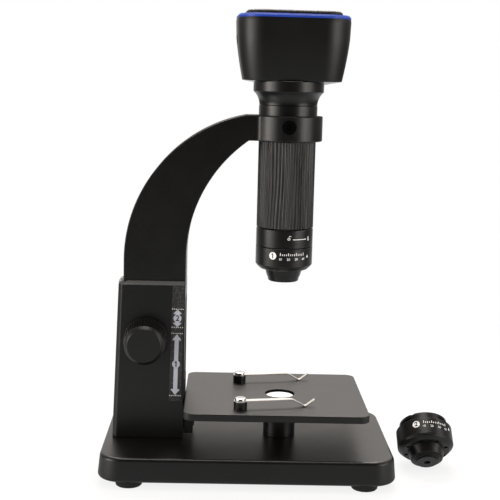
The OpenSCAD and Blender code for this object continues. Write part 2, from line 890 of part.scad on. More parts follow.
// A spring clip with its pivot at the origin; it lies along +X and its vee comes down to the stage
module clip() {
  low = clip_drop - post_h - 0.05;
  tip = low + (clip_tip - clip_reach) * 0.75;
  eye = post_r - 0.15;
  difference() {
    union() {
      cylinder(h = clip_t, r = eye);
      intersection() {
        rotate([90, 0, 0])
          linear_extrude(3 * clip_w, center = true)
            polygon([[0, 0], [clip_flat, 0], [clip_reach, low], [clip_tip, tip],
              [clip_tip, tip + clip_t], [clip_reach, low + 1.2 * clip_t], [clip_flat, clip_t], [0, clip_t]]);
        translate([0, 0, -20])
          linear_extrude(40)
            polygon([[0, -clip_w / 2], [clip_tip, -clip_tip_w / 2], [clip_tip, clip_tip_w / 2],
              [0, clip_w / 2]]);
      }
    }
    translate([0, 0, -1])
      cylinder(h = 3, r = clip_pin_r + run_fit);
  }
}

module clip_near() {
  color([0.82, 0.8, 0.77])
    translate([axis_x - clip_x, -clip_near_y, stage_top + post_h + 0.05])
      rotate([0, 0, clip_angle])
        clip();
}

module clip_far() {
  color([0.82, 0.8, 0.77])
    translate([axis_x - clip_x, clip_far_y, stage_top + post_h + 0.05])
      rotate([0, 0, clip_angle])
        clip();
}

module lamp_housing() {
  z0 = lamp_bot + cap_plate + seat_fit;
  color([0.08, 0.08, 0.09])
    translate([axis_x, 0, z0])
      tube(lamp_r, stage_bot + lamp_seat - seat_fit - z0, lamp_in);
}

module lamp_cap() {
  color([0.08, 0.08, 0.09])
    translate([axis_x, 0, lamp_bot]) {
      cylinder(h = cap_plate, r = lamp_r);
      cylinder(h = cap_plate + cap_plug, r = lamp_in - seat_fit);
    }
}

module lamp_board() {
  color([0.2, 0.45, 0.3])
    translate([axis_x, 0, lamp_bot + cap_plate + cap_plug + seat_fit]) {
      cylinder(h = 1.6, r = lamp_in - 0.3);
      cylinder(h = 3.2, r = 2.6);
    }
}

// A point on the involute of a circle
function involute(r, a) = [r * (cos(a) + a * PI / 180 * sin(a)), r * (sin(a) - a * PI / 180 * cos(a))];
function turned(p, a) = [p[0] * cos(a) - p[1] * sin(a), p[0] * sin(a) + p[1] * cos(a)];

// One pinion tooth that points along +X
module pinion_tooth() {
  rb = pitch_r * cos(20);
  ra = pitch_r + tooth_m;
  amax = sqrt(pow(ra / rb, 2) - 1) * 180 / PI;
  inv20 = (tan(20) - 20 * PI / 180) * 180 / PI;
  half = 90 / pinion_teeth + inv20 - 0.9;
  n = 6;
  low = [for (i = [0 : n]) turned(involute(rb, amax * i / n), -half)];
  high = [for (i = [n : -1 : 0]) let (q = low[i]) [q[0], -q[1]]];
  polygon(concat([[pitch_r - 2 * tooth_m, low[0][1]]], low, high, [[pitch_r - 2 * tooth_m, -low[0][1]]]));
}

shaft_end = 5;

module pinion_shaft() {
  half = col_d / 2 + knob_len - shaft_end;
  color([0.7, 0.7, 0.72])
    translate([shaft_x, 0, shaft_h])
      rotate([90, 0, 0]) {
        cylinder(h = 2 * half, r = shaft_r, center = true);
        translate([0, 0, -pinion_w / 2])
          linear_extrude(pinion_w)
            union() {
              circle(pitch_r - 1.25 * tooth_m);
              for (i = [0 : pinion_teeth - 1])
                rotate(360 * i / pinion_teeth)
                  pinion_tooth();
            }
      }
}

// A grip knob with its foot at the origin and its face towards +Z
module knob() {
  rim = knob_len - 2;
  lean = atan2(knob_r - knob_front_r, rim);
  difference() {
    rotate_extrude()
      polygon([[0, 0], [knob_r, 0], [knob_front_r, rim], [knob_face_r, knob_len], [0, knob_len]]);
    translate([0, 0, -eps])
      cylinder(h = knob_len - shaft_end + 0.2, r = shaft_r + seat_fit);
    for (i = [0 : knob_grips - 1])
      rotate([0, 0, 360 * i / knob_grips])
        translate([knob_r, 0, 0])
          rotate([0, -lean, 0])
            translate([-0.5, -0.45, 1.2])
              cube([2, 0.9, rim - 1.8]);
    translate([0, 0, knob_screw_z])
      rotate([0, 90, 360 / knob_grips / 2])
        cylinder(h = 2 * knob_r, r = small_screw_r + seat_fit);
  }
}

knob_screw_z = 4;

module knob_near() {
  color([0.1, 0.1, 0.11])
    translate([shaft_x, -col_d / 2 - pass_gap, shaft_h])
      rotate([90, 0, 0])
        knob();
}

module knob_far() {
  color([0.1, 0.1, 0.11])
    translate([shaft_x, col_d / 2 + pass_gap, shaft_h])
      rotate([-90, 0, 0])
        knob();
}

module knob_screws() {
  color([0.2, 0.2, 0.21])
    for (s = [-1, 1])
      translate([shaft_x, s * (col_d / 2 + pass_gap), shaft_h])
        rotate([-90 * s, 0, 0])
          translate([0, 0, knob_screw_z])
            rotate([0, 90, 360 / knob_grips / 2])
              translate([0, 0, shaft_r + seat_fit])
                cylinder(h = 6, r = small_screw_r);
}

// Tube

module barrel() {
  shoulder = ring_bot - 0.3;
  color([0.1, 0.1, 0.11])
    translate([axis_x, 0, 0])
      rotate_extrude()
        polygon([[tube_r - tube_wall, mount_top - 4], [tube_r, mount_top - 4], [tube_r, shoulder],
          [barrel_r, shoulder], [barrel_r, barrel_top], [tube_r, barrel_top],
          [tube_r, ring_top - 2], [tube_r - tube_wall, ring_top - 2]]);
}

module focus_sleeve() {
  step = 360 / sleeve_ribs;
  low = sleeve_r - rib_depth;
  color([0.1, 0.1, 0.11])
    translate([axis_x, 0, sleeve_bot])
      linear_extrude(sleeve_h)
        difference() {
          polygon([for (i = [0 : sleeve_ribs - 1], k = [0 : 3])
            let (a = step * (i + [0.1, 0.5, 0.6, 1][k]), r = k < 2 ? sleeve_r : low)
              [r * cos(a), r * sin(a)]]);
          circle(tube_r + run_fit);
        }
}

carrier_z = sleeve_bot + 0.4 * sleeve_h;
carrier_h = 16;
glass_r = 10;

module focus_carrier() {
  color([0.14, 0.14, 0.15])
    translate([axis_x, 0, carrier_z])
      difference() {
        cylinder(h = carrier_h, r = tube_r - tube_wall - run_fit);
        translate([0, 0, -eps])
          cylinder(h = carrier_h + 1, r = glass_r - 1);
        translate([0, 0, 4])
          cylinder(h = carrier_h, r = glass_r + seat_fit);
      }
}

module carrier_glass() {
  color([0.7, 0.8, 0.85, 0.6])
    translate([axis_x, 0, carrier_z + 4 + seat_fit])
      cylinder(h = 4, r = glass_r);
}

module neck() {
  spigot = tube_r - seat_fit;
  bore = spigot - 2.6;
  rho = (pow(neck_r - flare_r, 2) + pow(flare_h, 2)) / (2 * (neck_r - flare_r));
  color([0.1, 0.1, 0.11])
    translate([axis_x, 0, neck_bot])
      difference() {
        rotate_extrude()
          difference() {
            polygon([[bore, -barrel_up], [spigot, -barrel_up], [spigot, 0], [neck_r, 0],
              [neck_r, flare_h + neck_rim_h], [spigot, flare_h + neck_rim_h],
              [spigot, flare_h - 2], [bore, flare_h - 2]]);
            translate([flare_r + rho, 0])
              circle(rho, $fn = 96);
          }
        at_neck_screws()
          translate([0, 0, flare_h + neck_rim_h - neck_bite])
            cylinder(h = 2 * neck_bite, r = small_screw_r + seat_fit);
      }
}

neck_bite = 4.4;

module at_neck_screws() {
  for (i = [0 : 3])
    rotate([0, 0, 45 + 90 * i])
      translate([(tube_r + neck_r) / 2, 0, 0])
        children();
}

module neck_screws() {
  color([0.6, 0.6, 0.62])
    translate([axis_x, 0, head_bot + head_floor + seat_fit])
      at_neck_screws()
        rotate([180, 0, 0])
          screw(small_screw_r, head_floor + neck_bite - 4 * seat_fit, 2 * small_screw_r, screw_head);
}

module sensor_board() {
  z0 = neck_bot + flare_h - 2 + seat_fit;
  color([0.2, 0.4, 0.3])
    translate([axis_x, 0, z0]) {
      cylinder(h = 1.6, r = tube_r - 0.5);
      translate([-4, -4, -1.2])
        cube([8, 8, 1.3]);
      translate([-3, -6, 1.5])
        cube([6, 3, 2.2]);
    }
}

// Head

steps = 4;

// The head's outside, drawn in towards its foot
module head_block() {
  translate([head_x, 0, head_bot + tuck_h])
    block(head_w, head_d, head_r, head_h - tuck_h);
  for (i = [0 : steps - 1]) {
    h0 = tuck_h * i / steps;
    h1 = tuck_h * (i + 1) / steps;
    t = tuck(h1);
    translate([head_x, 0, head_bot + h0])
      slab(head_w - 2 * t, head_d - 2 * t, head_r - t, h1 - h0, t - tuck(h0));
  }
}

module at_posts() {
  for (x = [-1, 1], y = [-1, 1])
    translate([head_x + x * (head_w / 2 - head_tuck - head_wall - 4.5),
        y * (head_d / 2 - head_tuck - head_wall - 3.6), 0])
      children();
}

port_z = head_bot + 26;
port_w = 9;
port_h = 5.6;

module head_shell() {
  low = head_tuck + head_wall;
  color([0.09, 0.09, 0.1]) {
    difference() {
      head_block();
      translate([head_x, 0, head_bot + head_floor])
        block(head_w - 2 * low, head_d - 2 * low, head_r - low, head_h);
      translate([head_x, 0, head_bot + tuck_h * 0.6])
        block(head_w - 2 * head_wall - 2, head_d - 2 * head_wall - 2, head_r - head_wall - 1, head_h);
      translate([axis_x, 0, head_bot - 1])
        cylinder(h = head_floor + 2, r = light_r);
      translate([axis_x, 0, head_bot - 1])
        at_neck_screws()
          cylinder(h = head_floor + 2, r = small_screw_r + seat_fit);
      translate([head_x - head_w / 2 - 1, -port_w / 2 - 0.2, port_z - port_h / 2 - 0.2])
        cube([head_wall + 3, port_w + 0.4, port_h + 0.4]);
    }
    at_posts() {
      translate([0, 0, head_bot + head_floor - eps])
        cylinder(h = board_z - head_bot - head_floor, r = 2.6);
      translate([0, 0, head_bot + head_floor])
        tube(1.9, post_top - head_bot - head_floor, small_screw_r * 0.7 + seat_fit);
    }
  }
}

module trim_ring() {
  w = head_w - 0.5;
  d = head_d - 0.5;
  e = 0.5;
  color([0.1, 0.2, 0.62])
    translate([head_x, 0, head_top + 0.02])
      difference() {
        union() {
          slab(w, d, head_r - 0.25, e, -e);
          translate([0, 0, e])
            block(w, d, head_r - 0.25, trim_h - 2 * e);
          translate([0, 0, trim_h - e])
            slab(w - 2 * e, d - 2 * e, head_r - 0.25 - e, e, e);
        }
        translate([0, 0, -1])
          block(head_w - 2 * cover_in, head_d - 2 * cover_in, head_r - cover_in, trim_h + 2);
      }
}

cover_flange = 1.6;

module at_buttons() {
  for (i = [-1 : 1])
    translate([head_x + i * button_gap, 0, 0])
      children();
}

module top_cover() {
  g = cover_in + 0.1;
  e = cover_edge;
  wall = head_wall + 1 + 0.15;
  color([0.07, 0.07, 0.08])
    difference() {
      union() {
        translate([head_x, 0, head_top - cover_flange])
          block(head_w - 2 * wall, head_d - 2 * wall, head_r - wall, cover_flange);
        translate([head_x, 0, head_top - 0.5])
          block(head_w - 2 * g, head_d - 2 * g, head_r - g, trim_h + cover_h - e + 0.5);
        translate([head_x, 0, cover_top - e])
          slab(head_w - 2 * g - 2 * e, head_d - 2 * g - 2 * e, head_r - g - e, e, e);
      }
      at_buttons()
        translate([0, 0, head_top - cover_flange - 1])
          cylinder(h = 12, r = button_r + 0.1);
    }
}

button_flange = 1;
button_foot = head_top - cover_flange - button_flange - 2 * seat_fit;

// A button whose flange catches under the top cover
module button() {
  translate([0, 0, button_foot])
    cylinder(h = cover_top - button_foot, r = button_r);
  translate([0, 0, button_foot])
    cylinder(h = button_flange, r = button_r + button_flange);
}

module power_button() {
  color([0.5, 0.1, 0.1])
    translate([head_x - button_gap, 0, 0])
      button();
}

module photo_button() {
  color([0.12, 0.12, 0.13])
    translate([head_x, 0, 0])
      button();
}

module light_button() {
  color([0.12, 0.12, 0.13])
    translate([head_x + button_gap, 0, 0])
      button();
}

board_t = 1.6;

// A circuit board as wide as the posts need, with holes over them
module head_board(z0, hole) {
  low = head_tuck + head_wall + 0.3;
  difference() {
    translate([head_x, 0, z0])
      block(head_w - 2 * low, head_d - 2 * low, head_r - low, board_t);
    at_posts()
      translate([0, 0, z0 - board_t])
        cylinder(h = 3 * board_t, r = hole);
  }
}

chip_w = 14;
chip_h = 1.5;
radio_w = 8;
radio_d = 12;
radio_h = 2.4;

module main_board() {
  color([0.12, 0.35, 0.25]) {
    head_board(board_z + seat_fit, 1.9 + seat_fit);
    translate([head_x - chip_w / 2, -chip_w / 2, board_z + board_t])
      cube([chip_w, chip_w, chip_h]);
    translate([head_x + chip_w, -radio_d / 2, board_z + board_t])
      cube([radio_w, radio_d, radio_h]);
  }
}

battery_l = 38;
battery_w = 19;
battery_h = 14.4;

// The battery lies on the head's floor, between the screws of the neck
module battery() {
  color([0.75, 0.76, 0.78])
    translate([head_x - battery_l / 2, -battery_w / 2, head_bot + head_floor + seat_fit])
      cube([battery_l, battery_w, battery_h]);
}

module usb_port() {
  x0 = head_x - head_w / 2 + 0.8;
  low = head_tuck + head_wall + 0.3;
  reach = head_x - head_w / 2 + low + 3 - x0;
  color([0.7, 0.7, 0.72]) {
    difference() {
      translate([x0, -port_w / 2, port_z - port_h / 2])
        cube([reach, port_w, port_h]);
      translate([x0 - 1, -port_w / 2 + 0.7, port_z - port_h / 2 + 0.7])
        cube([reach - 1, port_w - 1.4, port_h - 1.4]);
    }
    translate([x0 + reach - 2.5, -port_w / 2, board_z + board_t + 2 * seat_fit])
      cube([2.5, port_w, port_z - port_h / 2 - board_z - board_t]);
  }
}

switch_w = 5;

module button_board() {
  color([0.12, 0.35, 0.25]) {
    head_board(post_top + seat_fit, small_screw_r * 0.7 + seat_fit);
    at_buttons()
      translate([-switch_w / 2, -switch_w / 2, post_top + board_t])
        cube([switch_w, switch_w, button_foot - button_travel - pass_gap - post_top - board_t]);
  }
}

module board_screws() {
  color([0.6, 0.6, 0.62])
    at_posts()
      translate([0, 0, post_top + board_t + 2 * seat_fit])
        rotate([180, 0, 0])
          screw(small_screw_r * 0.7, 6, 1.8, 1);
}

// Lens mount and lenses

module mount_ring() {
  color([0.1, 0.1, 0.11])
    translate([axis_x, 0, mount_bot]) {
      difference() {
        cylinder(h = mount_h, r = mount_r);
        translate([0, 0, -1])
          cylinder(h = mount_h + 2, r = tube_r - tube_wall);
        translate([0, 0, -1])
          cylinder(h = skirt_h + 1.4, r = skirt_r + 0.3);
        translate([0, 0, mount_h - 4.1])
          cylinder(h = 6, r = tube_r + seat_fit);
      }
      for (i = [0 : 2])
        rotate([0, 0, pin_turn + 120 * i])
          translate([cup_r + 0.1, 0, pin_z - 0.25])
            rotate([0, 90, 0])
              cylinder(h = skirt_r + 0.8 - cup_r, r = pin_r);
    }
}

// The part of a disc between two angles, as a flat shape
module sector(r, a0, a1) {
  n = 6;
  polygon(concat([[0, 0]], [for (i = [0 : n]) let (a = a0 + (a1 - a0) * i / n) 1.2 * r * [cos(a), sin(a)]]));
}

// A lens body with the mount face at the origin and its nose along -Z
module lens_body() {
  rim_z = nose_z0 - nose_h;
  end_z = rim_z - nose_end;
  slot = pin_r + 0.25;
  slot_a = slot / skirt_r * 180 / PI + 0.8;
  difference() {
    rotate_extrude()
      polygon([[nose_hole_r, end_z], [nose_rim_r - 2.6, end_z], [nose_rim_r - 1, rim_z - 0.6],
        [nose_rim_r - 1, rim_z], [nose_rim_r, rim_z], [nose_r, nose_z0], [flange_r, nose_z0 + 0.4],
        [lens_r, -lens_h], [lens_r, 0], [skirt_r, 0], [skirt_r, skirt_h], [cup_r, skirt_h],
        [cup_r, cup_floor], [cell_r, cup_floor], [cell_r, 1], [cell_in, 1],
        [cell_in, rim_z], [nose_hole_r, rim_z]]);
    for (i = [0 : 2])
      rotate([0, 0, pin_turn + 120 * i]) {
        translate([0, 0, pin_z - slot])
          linear_extrude(2 * slot)
            difference() {
              sector(skirt_r, -slot_a, twist + slot_a);
              circle(cup_r - 0.3);
            }
        translate([0, 0, pin_z])
          linear_extrude(skirt_h)
            difference() {
              sector(skirt_r, twist - slot_a, twist + slot_a);
              circle(cup_r - 0.3);
            }
      }
    for (i = [0 : lens_leds - 1])
      rotate([0, 0, 360 * (i + 0.5) / lens_leds])
        translate([led_r, 0, -lens_h - chamfer_h - 2])
          cylinder(h = lens_h, r = 1.05);
  }
}

module lens_light_board() {
  z0 = cup_floor + seat_fit;
  difference() {
    translate([0, 0, z0])
      cylinder(h = 1.2, r = cup_r - 0.2);
    translate([0, 0, z0 - 1])
      cylinder(h = 4, r = cell_r + 0.2);
  }
  for (i = [0 : lens_leds - 1])
    rotate([0, 0, 360 * (i + 0.5) / lens_leds])
      translate([led_r, 0, z0 - 2.2])
        cylinder(h = 2.3, r = 0.8);
}

module lens_glass() {
  translate([0, 0, nose_z0 - nose_h + seat_fit])
    cylinder(h = 2.4, r = cell_in - seat_fit);
}

module lens_contact_ring() {
  translate([0, 0, 1 + seat_fit])
    difference() {
      cylinder(h = 1.2, r = cup_r - 0.15);
      translate([0, 0, -1])
        cylinder(h = 4, r = cell_in);
    }
}

module at_lens1() {
  translate([axis_x, 0, lens_top])
    children();
}

// The spare lens lies on the floor, on the edge of its body and the rim of its nose
module at_lens2() {
  translate([spare_x, -spare_y, spare_z])
    rotate([rest_angle - 90, 0, 0])
      translate([0, 0, lens_h])
        children();
}

module lens1_body() {
  color([0.1, 0.1, 0.11])
    at_lens1()
      lens_body();
}

module lens1_light_board() {
  color([0.9, 0.9, 0.85])
    at_lens1()
      lens_light_board();
}

module lens1_glass() {
  color([0.6, 0.7, 0.8, 0.6])
    at_lens1()
      lens_glass();
}

module lens1_contact_ring() {
  color([0.8, 0.68, 0.35])
    at_lens1()
      lens_contact_ring();
}

module lens2_body() {
  color([0.1, 0.1, 0.11])
    at_lens2()
      lens_body();
}

module lens2_light_board() {
  color([0.9, 0.9, 0.85])
    at_lens2()
      lens_light_board();
}

module lens2_glass() {
  color([0.6, 0.7, 0.8, 0.6])
    at_lens2()
      lens_glass();
}

module lens2_contact_ring() {
  color([0.8, 0.68, 0.35])
    at_lens2()
      lens_contact_ring();
}

// Puts the whole set over the origin
module place() {
  translate([-set_x, 0, 0])
    children();
}

place() base_shell();
place() base_bottom_plate();
place() rubber_feet();
place() foot_screws();
place() column();
place() column_screws();
place() arm();
place() arm_screws();
place() guide_rods();
place() shaft_bushes();
place() scale_label();
place() clamp_screw();
place() ring_liner();
place() stage_carriage();
place() rack();
place() stage_bracket();
place() bracket_screws();
place() stage_plate();
place() stage_screws();
place() diffuser_disc();
place() clip_posts();
place() clip_caps();
place() lamp_housing();
place() lamp_cap();
place() lamp_board();
place() clip_near();
place() clip_far();
place() pinion_shaft();
place() knob_near();
place() knob_far();
place() knob_screws();
place() barrel();
place() neck();
place() head_shell();
place() trim_ring();
place() top_cover();
place() main_board();
place() battery();
place() usb_port();
place() button_board();
place() board_screws();
place() power_button();
place() photo_button();
place() light_button();
place() neck_screws();
place() sensor_board();
place() focus_sleeve();
place() focus_carrier();
place() carrier_glass();
place() mount_ring();
place() lens1_body();
place() lens1_light_board();
place() lens1_glass();
place() lens1_contact_ring();
place() lens2_body();
place() lens2_light_board();
place() lens2_glass();
place() lens2_contact_ring();
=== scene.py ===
"""A digital microscope on a curved stand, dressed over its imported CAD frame.

Lengths are millimetres in the stand's own frame until a piece is finished: X runs along the base with 0
at its middle and the stage at the plus end, Y runs away from the viewer, and Z up from the floor. Angles
round the tube are degrees from the viewer's side, positive towards the stage's free end.
"""

from math import asin, cos, degrees, pi, radians, sin, sqrt, tan

import bmesh
import bpy
from mathutils import Matrix, Vector, noise


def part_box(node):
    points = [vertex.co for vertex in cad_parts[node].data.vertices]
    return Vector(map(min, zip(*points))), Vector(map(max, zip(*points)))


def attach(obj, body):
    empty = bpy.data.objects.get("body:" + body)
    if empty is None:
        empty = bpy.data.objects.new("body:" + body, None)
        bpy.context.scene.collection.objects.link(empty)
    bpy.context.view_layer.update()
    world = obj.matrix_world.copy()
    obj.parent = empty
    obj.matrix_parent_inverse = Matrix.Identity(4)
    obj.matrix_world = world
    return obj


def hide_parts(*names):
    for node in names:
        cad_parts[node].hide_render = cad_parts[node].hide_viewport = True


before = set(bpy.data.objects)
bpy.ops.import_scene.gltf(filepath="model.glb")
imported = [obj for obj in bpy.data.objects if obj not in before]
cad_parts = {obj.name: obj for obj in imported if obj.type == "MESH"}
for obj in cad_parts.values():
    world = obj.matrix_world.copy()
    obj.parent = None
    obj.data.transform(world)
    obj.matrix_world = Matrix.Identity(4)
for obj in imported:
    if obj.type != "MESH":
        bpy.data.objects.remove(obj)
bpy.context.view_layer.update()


def moved(x=0.0, y=0.0, z=0.0):
    return Matrix.Translation((x, y, z))


def rotated(angle, axis="Z"):
    return Matrix.Rotation(radians(angle), 4, axis)


base_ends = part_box("base_shell")
STAND_X = (base_ends[0].x + base_ends[1].x) / 2
IN_FRAME = moved(STAND_X) @ Matrix.Scale(0.001, 4)

# Room left between pieces that touch
SEAM, HAIR = 0.05, 0.02

# Base and feet
BASE_W, BASE_D, BASE_R = 180.0, 108.0, 14.0
BASE_LOW, BASE_TOP, BASE_LEAN, BASE_EDGE = 4.2, 19.2, 1.1, 2.2
FOOT_X, FOOT_Y, FOOT_R, FOOT_TOP_R = 71.8, 44.6, 8.0, 8.9
FOOT_WELL_R, FOOT_WELL = 2.9, 2.2

# Column
COL_FRONT, COL_REAR, COL_REAR_FOOT, COL_HALF = -40.3, -82.0, -85.4, 15.0
COL_TOP, BEVEL_TOP, BEVEL_IN, COL_CHAMFER = 117.8, 120.3, 3.0, 2.4
STAND_EDGE = 0.7
SLOT_HALF, SLOT_TOP = 9.0, 108.8
HOLLOW_LOW, HOLLOW_HIGH = (-77.8, -12.0, 25.2), (-43.8, 12.0, 109.8)
ARM_SCREW_X, ARM_SCREW_Y, ARM_SCREW_Z, ARM_SCREW_R = -80.4, 4.5, 115.3, 3.8
RACK_SLACK, RACK_TRAVEL = 0.5, 54.0

# Arm and ring
ARM_BACK, ARM_HALF = -79.0, 12.0
OUTER_AT, INNER_AT = (13.3, 133.0), (49.9, 135.0)
AXIS_X = 20.9
RING_R, RING_LOW, RING_TOP, BLEND_R = 21.6, 208.0, 223.5, 4.0
RING_BORE, RING_LIP_R, RING_LIP_TOP = 19.31, 18.4, 209.2
CLAMP_Z, CLAMP_R, CLAMP_END, CLAMP_SUNK, CLAMP_KEY_R = 216.9, 4.25, 19.45, 0.7, 2.2

# Stage, bracket and lamp
STAGE_X, STAGE_W, STAGE_D, STAGE_R = 16.95, 113.3, 96.4, 6.0
STAGE_LOW, STAGE_TOP, STAGE_EDGE, RIM_EDGE = 41.3, 45.8, 0.6, 0.25
HOLE_R, LINER, LAMP_R, LAMP_IN, LAMP_SEAT = 9.2, 0.2, 10.2, 8.6, 42.3
LAMP_LOW, LAMP_TOP, DISC_SUNK = 20.75, 42.25, 1.7
BRACKET_PLATE = ((-39.9, -14.0, 22.5), (-34.5, 14.0, 41.25))
BRACKET_LEDGE = ((-39.9, -20.0, 37.25), (-13.7, 20.0, 41.25))
WEB_BACK, WEB_TOP, WEB_Y, WEB_HALF = -36.0, 39.0, 10.5, 1.5
WEB_STEPS = ((-33.6, 27.0), (-28.5, 31.0), (-24.0, 34.5))

# Clips: the path is seen from the side, from the post to the tip
CLIP_X, CLIP_NEAR, CLIP_FAR, CLIP_TURN = -4.9, -35.5, 24.5, 10.2
CLIP_THICK, CLIP_WIDE, CLIP_NARROW = 0.5, 4.2, 2.8
CLIP_PATH = [
    (1.5, 0), (30.2, 0), (31.8, -0.12), (33.3, -0.55), (39.3, -4.05), (40.2, -4.6), (41.1, -4.6),
    (42.0, -4.05), (46.6, -0.85), (47.0, -0.6),
]
POST_R, POST_H, CAP_R, CAP_H, CAP_GAP = 4.15, 4.8, 3.45, 1.7, 0.6
PIN_R, PIN_DEEP, PIN_ROOM = 1.5, 2.8, 0.06

# Focus knobs, with 0 at the foot of the skirt
KNOB_X, KNOB_Z, KNOB_FOOT = -64.5, 83.0, 15.4
KNOB_GRIPS, GRIP_STEPS, GRIP_DEEP = 46, 6, 0.5
KNOB_BORE, KNOB_BORE_END = 3.0, 12.0
SKIRT_LOW, SKIRT_TOP, SKIRT_LEAST = 1.5, 14.3, 12.0
KNOB_PROFILE = [
    (KNOB_BORE, 0), (13.9, 0), (14.2, 0.3), (14.05, 1.2), (14.0, 1.6), (12.28, 14.2), (12.26, 14.6),
    (12.2, 14.8), (11.9, 15.3), (10.5, 16.8), (10.2, 17.0), (0, 17.0),
]

# Tube
BARREL_R, BARREL_LOW, BARREL_TOP, CORNER = 18.1, 207.7, 229.7, 0.12
TUBE_R, TUBE_IN, TUBE_LOW, TUBE_TOP = 15.0, 13.4, 149.5, 221.6
SLEEVE_R, SLEEVE_LOW, SLEEVE_TOP, SLEEVE_RIBS, RIB_DEPTH = 17.75, 154.5, 207.4, 54, 0.6
MOUNT_R, MOUNT_LOW, MOUNT_TOP = 17.8, 142.5, 154.2
NECK_LOW, NECK_R, NECK_BORE, FLARE_TOP, FLARE_AT, FLARE_R = 229.9, 21.8, 12.4, 238.1, 28.61, 10.66

# Head
HEAD_X, HEAD_W, HEAD_D, HEAD_R, HEAD_LOW, HEAD_TOP = 22.5, 69.2, 48.0, 17.5, 242.9, 281.9
HEAD_TUCK, TUCK_H, HEAD_FLOOR, HEAD_WALL = 4.9, 33.1, 3.0, 2.2
SHOULDER_H, SHOULDER_IN, HEAD_TURN = 2.0, 0.2, 3.0
HEAD_EDGE, BELLY_LOW, BELLY_IN, NECK_PLUG = 244.6, 242.5, 11.0, 244.4
TRIM_LOW, TRIM_TOP, TRIM_W, TRIM_D, TRIM_R, TRIM_EDGE = 281.92, 284.22, 68.8, 47.6, 17.25, 1.2
COVER_W, COVER_D, COVER_R, COVER_LOW, COVER_TOP, COVER_EDGE = 59.0, 37.8, 12.2, 280.3, 286.7, 2.3
BUTTON_R, BUTTON_GAP, BUTTON_FOOT, BUTTON_RIM, BUTTON_DISH = 4.5, 15.0, 279.2, 0.5, 0.45
PORT_Z, PORT_W, PORT_H, PORT_R = 268.9, 9.4, 6.0, 1.6
KEYS = {"power": -1, "photo": 0, "light": 1}
HEAD_TURNED = moved(HEAD_X) @ rotated(HEAD_TURN) @ moved(-HEAD_X)

# Lenses, with the mount face at 0 and the nose downwards
LENS_R, LENS_H, LENS_TOP, SKIRT_R, SKIRT_H, CUP_R = 17.85, 10.7, 0.8, 15.2, 6.3, 14.0
CUP_FLOOR, CELL_R, CELL_TOP, GLASS_R, GLASS_SEAT, EYE_R = -10.5, 7.0, 1.0, 5.5, -20.0, 2.0
LAMP_HOLES, LAMP_HOLE_R, LAMP_HOLE_AT = 8, 1.2, 13.1
GROOVES, GROOVE_FROM, GROOVE_HALF, GROOVE_Z, GROOVE_WALL, TWIST = 3, 20.0, 1.15, 3.2, 0.25, 49.0
FLAT_NOSE = [
    (EYE_R, -21.5), (6.2, -21.5), (6.4, -21.2), (6.6, -21.2), (6.8, -21.5), (9.1, -21.5), (9.5, -21.15),
    (9.65, -20.6), (10.15, -18.45), (10.5, -18.3), (10.6, -17.9),
]
STEPPED_NOSE = [
    (EYE_R, -21.8), (6.6, -21.8), (7.0, -21.5), (7.0, -20.9), (7.8, -20.9), (8.1, -20.6), (8.1, -20.1),
    (9.0, -20.1), (9.3, -19.8), (9.3, -19.4), (9.9, -19.55), (10.2, -19.3),
]
ON_AXIS = moved(AXIS_X)
LENS_AT = moved(AXIS_X, 0, 141.45)
SPARE_AT = moved(115.45, -8.0, 13.4548) @ rotated(41.3255 - 90, "X") @ moved(0, 0, 11.3)


# Shapes


def clean(bm):
    bmesh.ops.remove_doubles(bm, verts=bm.verts, dist=0.001)
    bmesh.ops.dissolve_degenerate(bm, edges=bm.edges, dist=0.0005)
    bmesh.ops.recalc_face_normals(bm, faces=bm.faces)
    return bm


def corners_in(made):
    return [g for g in made if isinstance(g, bmesh.types.BMVert)]


def edges_in(made):
    return [g for g in made if isinstance(g, bmesh.types.BMEdge)]


def upright(bm, least=1e-4):
    """The edges that climb."""
    return [e for e in bm.edges if abs(e.verts[0].co.z - e.verts[1].co.z) > least]


def turned(profile, steps=96, ring=False):
    """A lathe piece: (radius, height) points spun round the upright axis; a ring closes its profile."""
    bm = bmesh.new()
    line = [bm.verts.new((r, 0, z)) for r, z in profile]
    pairs = list(zip(line, line[1:])) + ([(line[-1], line[0])] if ring else [])
    edges = [bm.edges.new(p) for p in pairs]
    bmesh.ops.spin(
        bm, geom=line + edges, axis=(0, 0, 1), cent=(0, 0, 0), angle=2 * pi, steps=steps, use_merge=True
    )
    return clean(bm)


def rise(bm, faces, by):
    """Extrudes faces, moves the new ones and gives their corners."""
    corners = corners_in(bmesh.ops.extrude_face_region(bm, geom=faces)["geom"])
    bmesh.ops.translate(bm, vec=by, verts=corners)
    return corners


def drawn(outline, low, high):
    """A flat outline of (x, y) points drawn up from one height to another."""
    bm = bmesh.new()
    face = bm.faces.new([bm.verts.new((x, y, low)) for x, y in outline])
    rise(bm, [face], (0, 0, high - low))
    return clean(bm)


def block(size, centre, corner=0.0, steps=10):
    """A block whose upright edges are rounded."""
    bm = bmesh.new()
    bmesh.ops.create_cube(bm, size=1.0)
    bmesh.ops.scale(bm, vec=size, verts=bm.verts)
    bmesh.ops.translate(bm, vec=centre, verts=bm.verts)
    if corner:
        rounded(bm, upright(bm), corner, steps)
    return bm


def tablet(x, wide, deep, low, high, corner, steps):
    """A block with rounded upright edges between two heights."""
    return block((wide, deep, high - low), (x, 0, (low + high) / 2), corner, steps)


def slab(low, high):
    """A plain block between two corners."""
    size = [b - a for a, b in zip(low, high)]
    return block(size, [(a + b) / 2 for a, b in zip(low, high)])


def rod(radius, low, high, steps=48):
    """A round bar along Z."""
    return turned([(0, low), (radius, low), (radius, high), (0, high)], steps)


def rounded(bm, edges, width, steps):
    bmesh.ops.bevel(
        bm,
        geom=edges,
        offset=width,
        offset_type="OFFSET",
        segments=steps,
        profile=0.5,
        affect="EDGES",
        clamp_overlap=True,
        material=-1,
    )


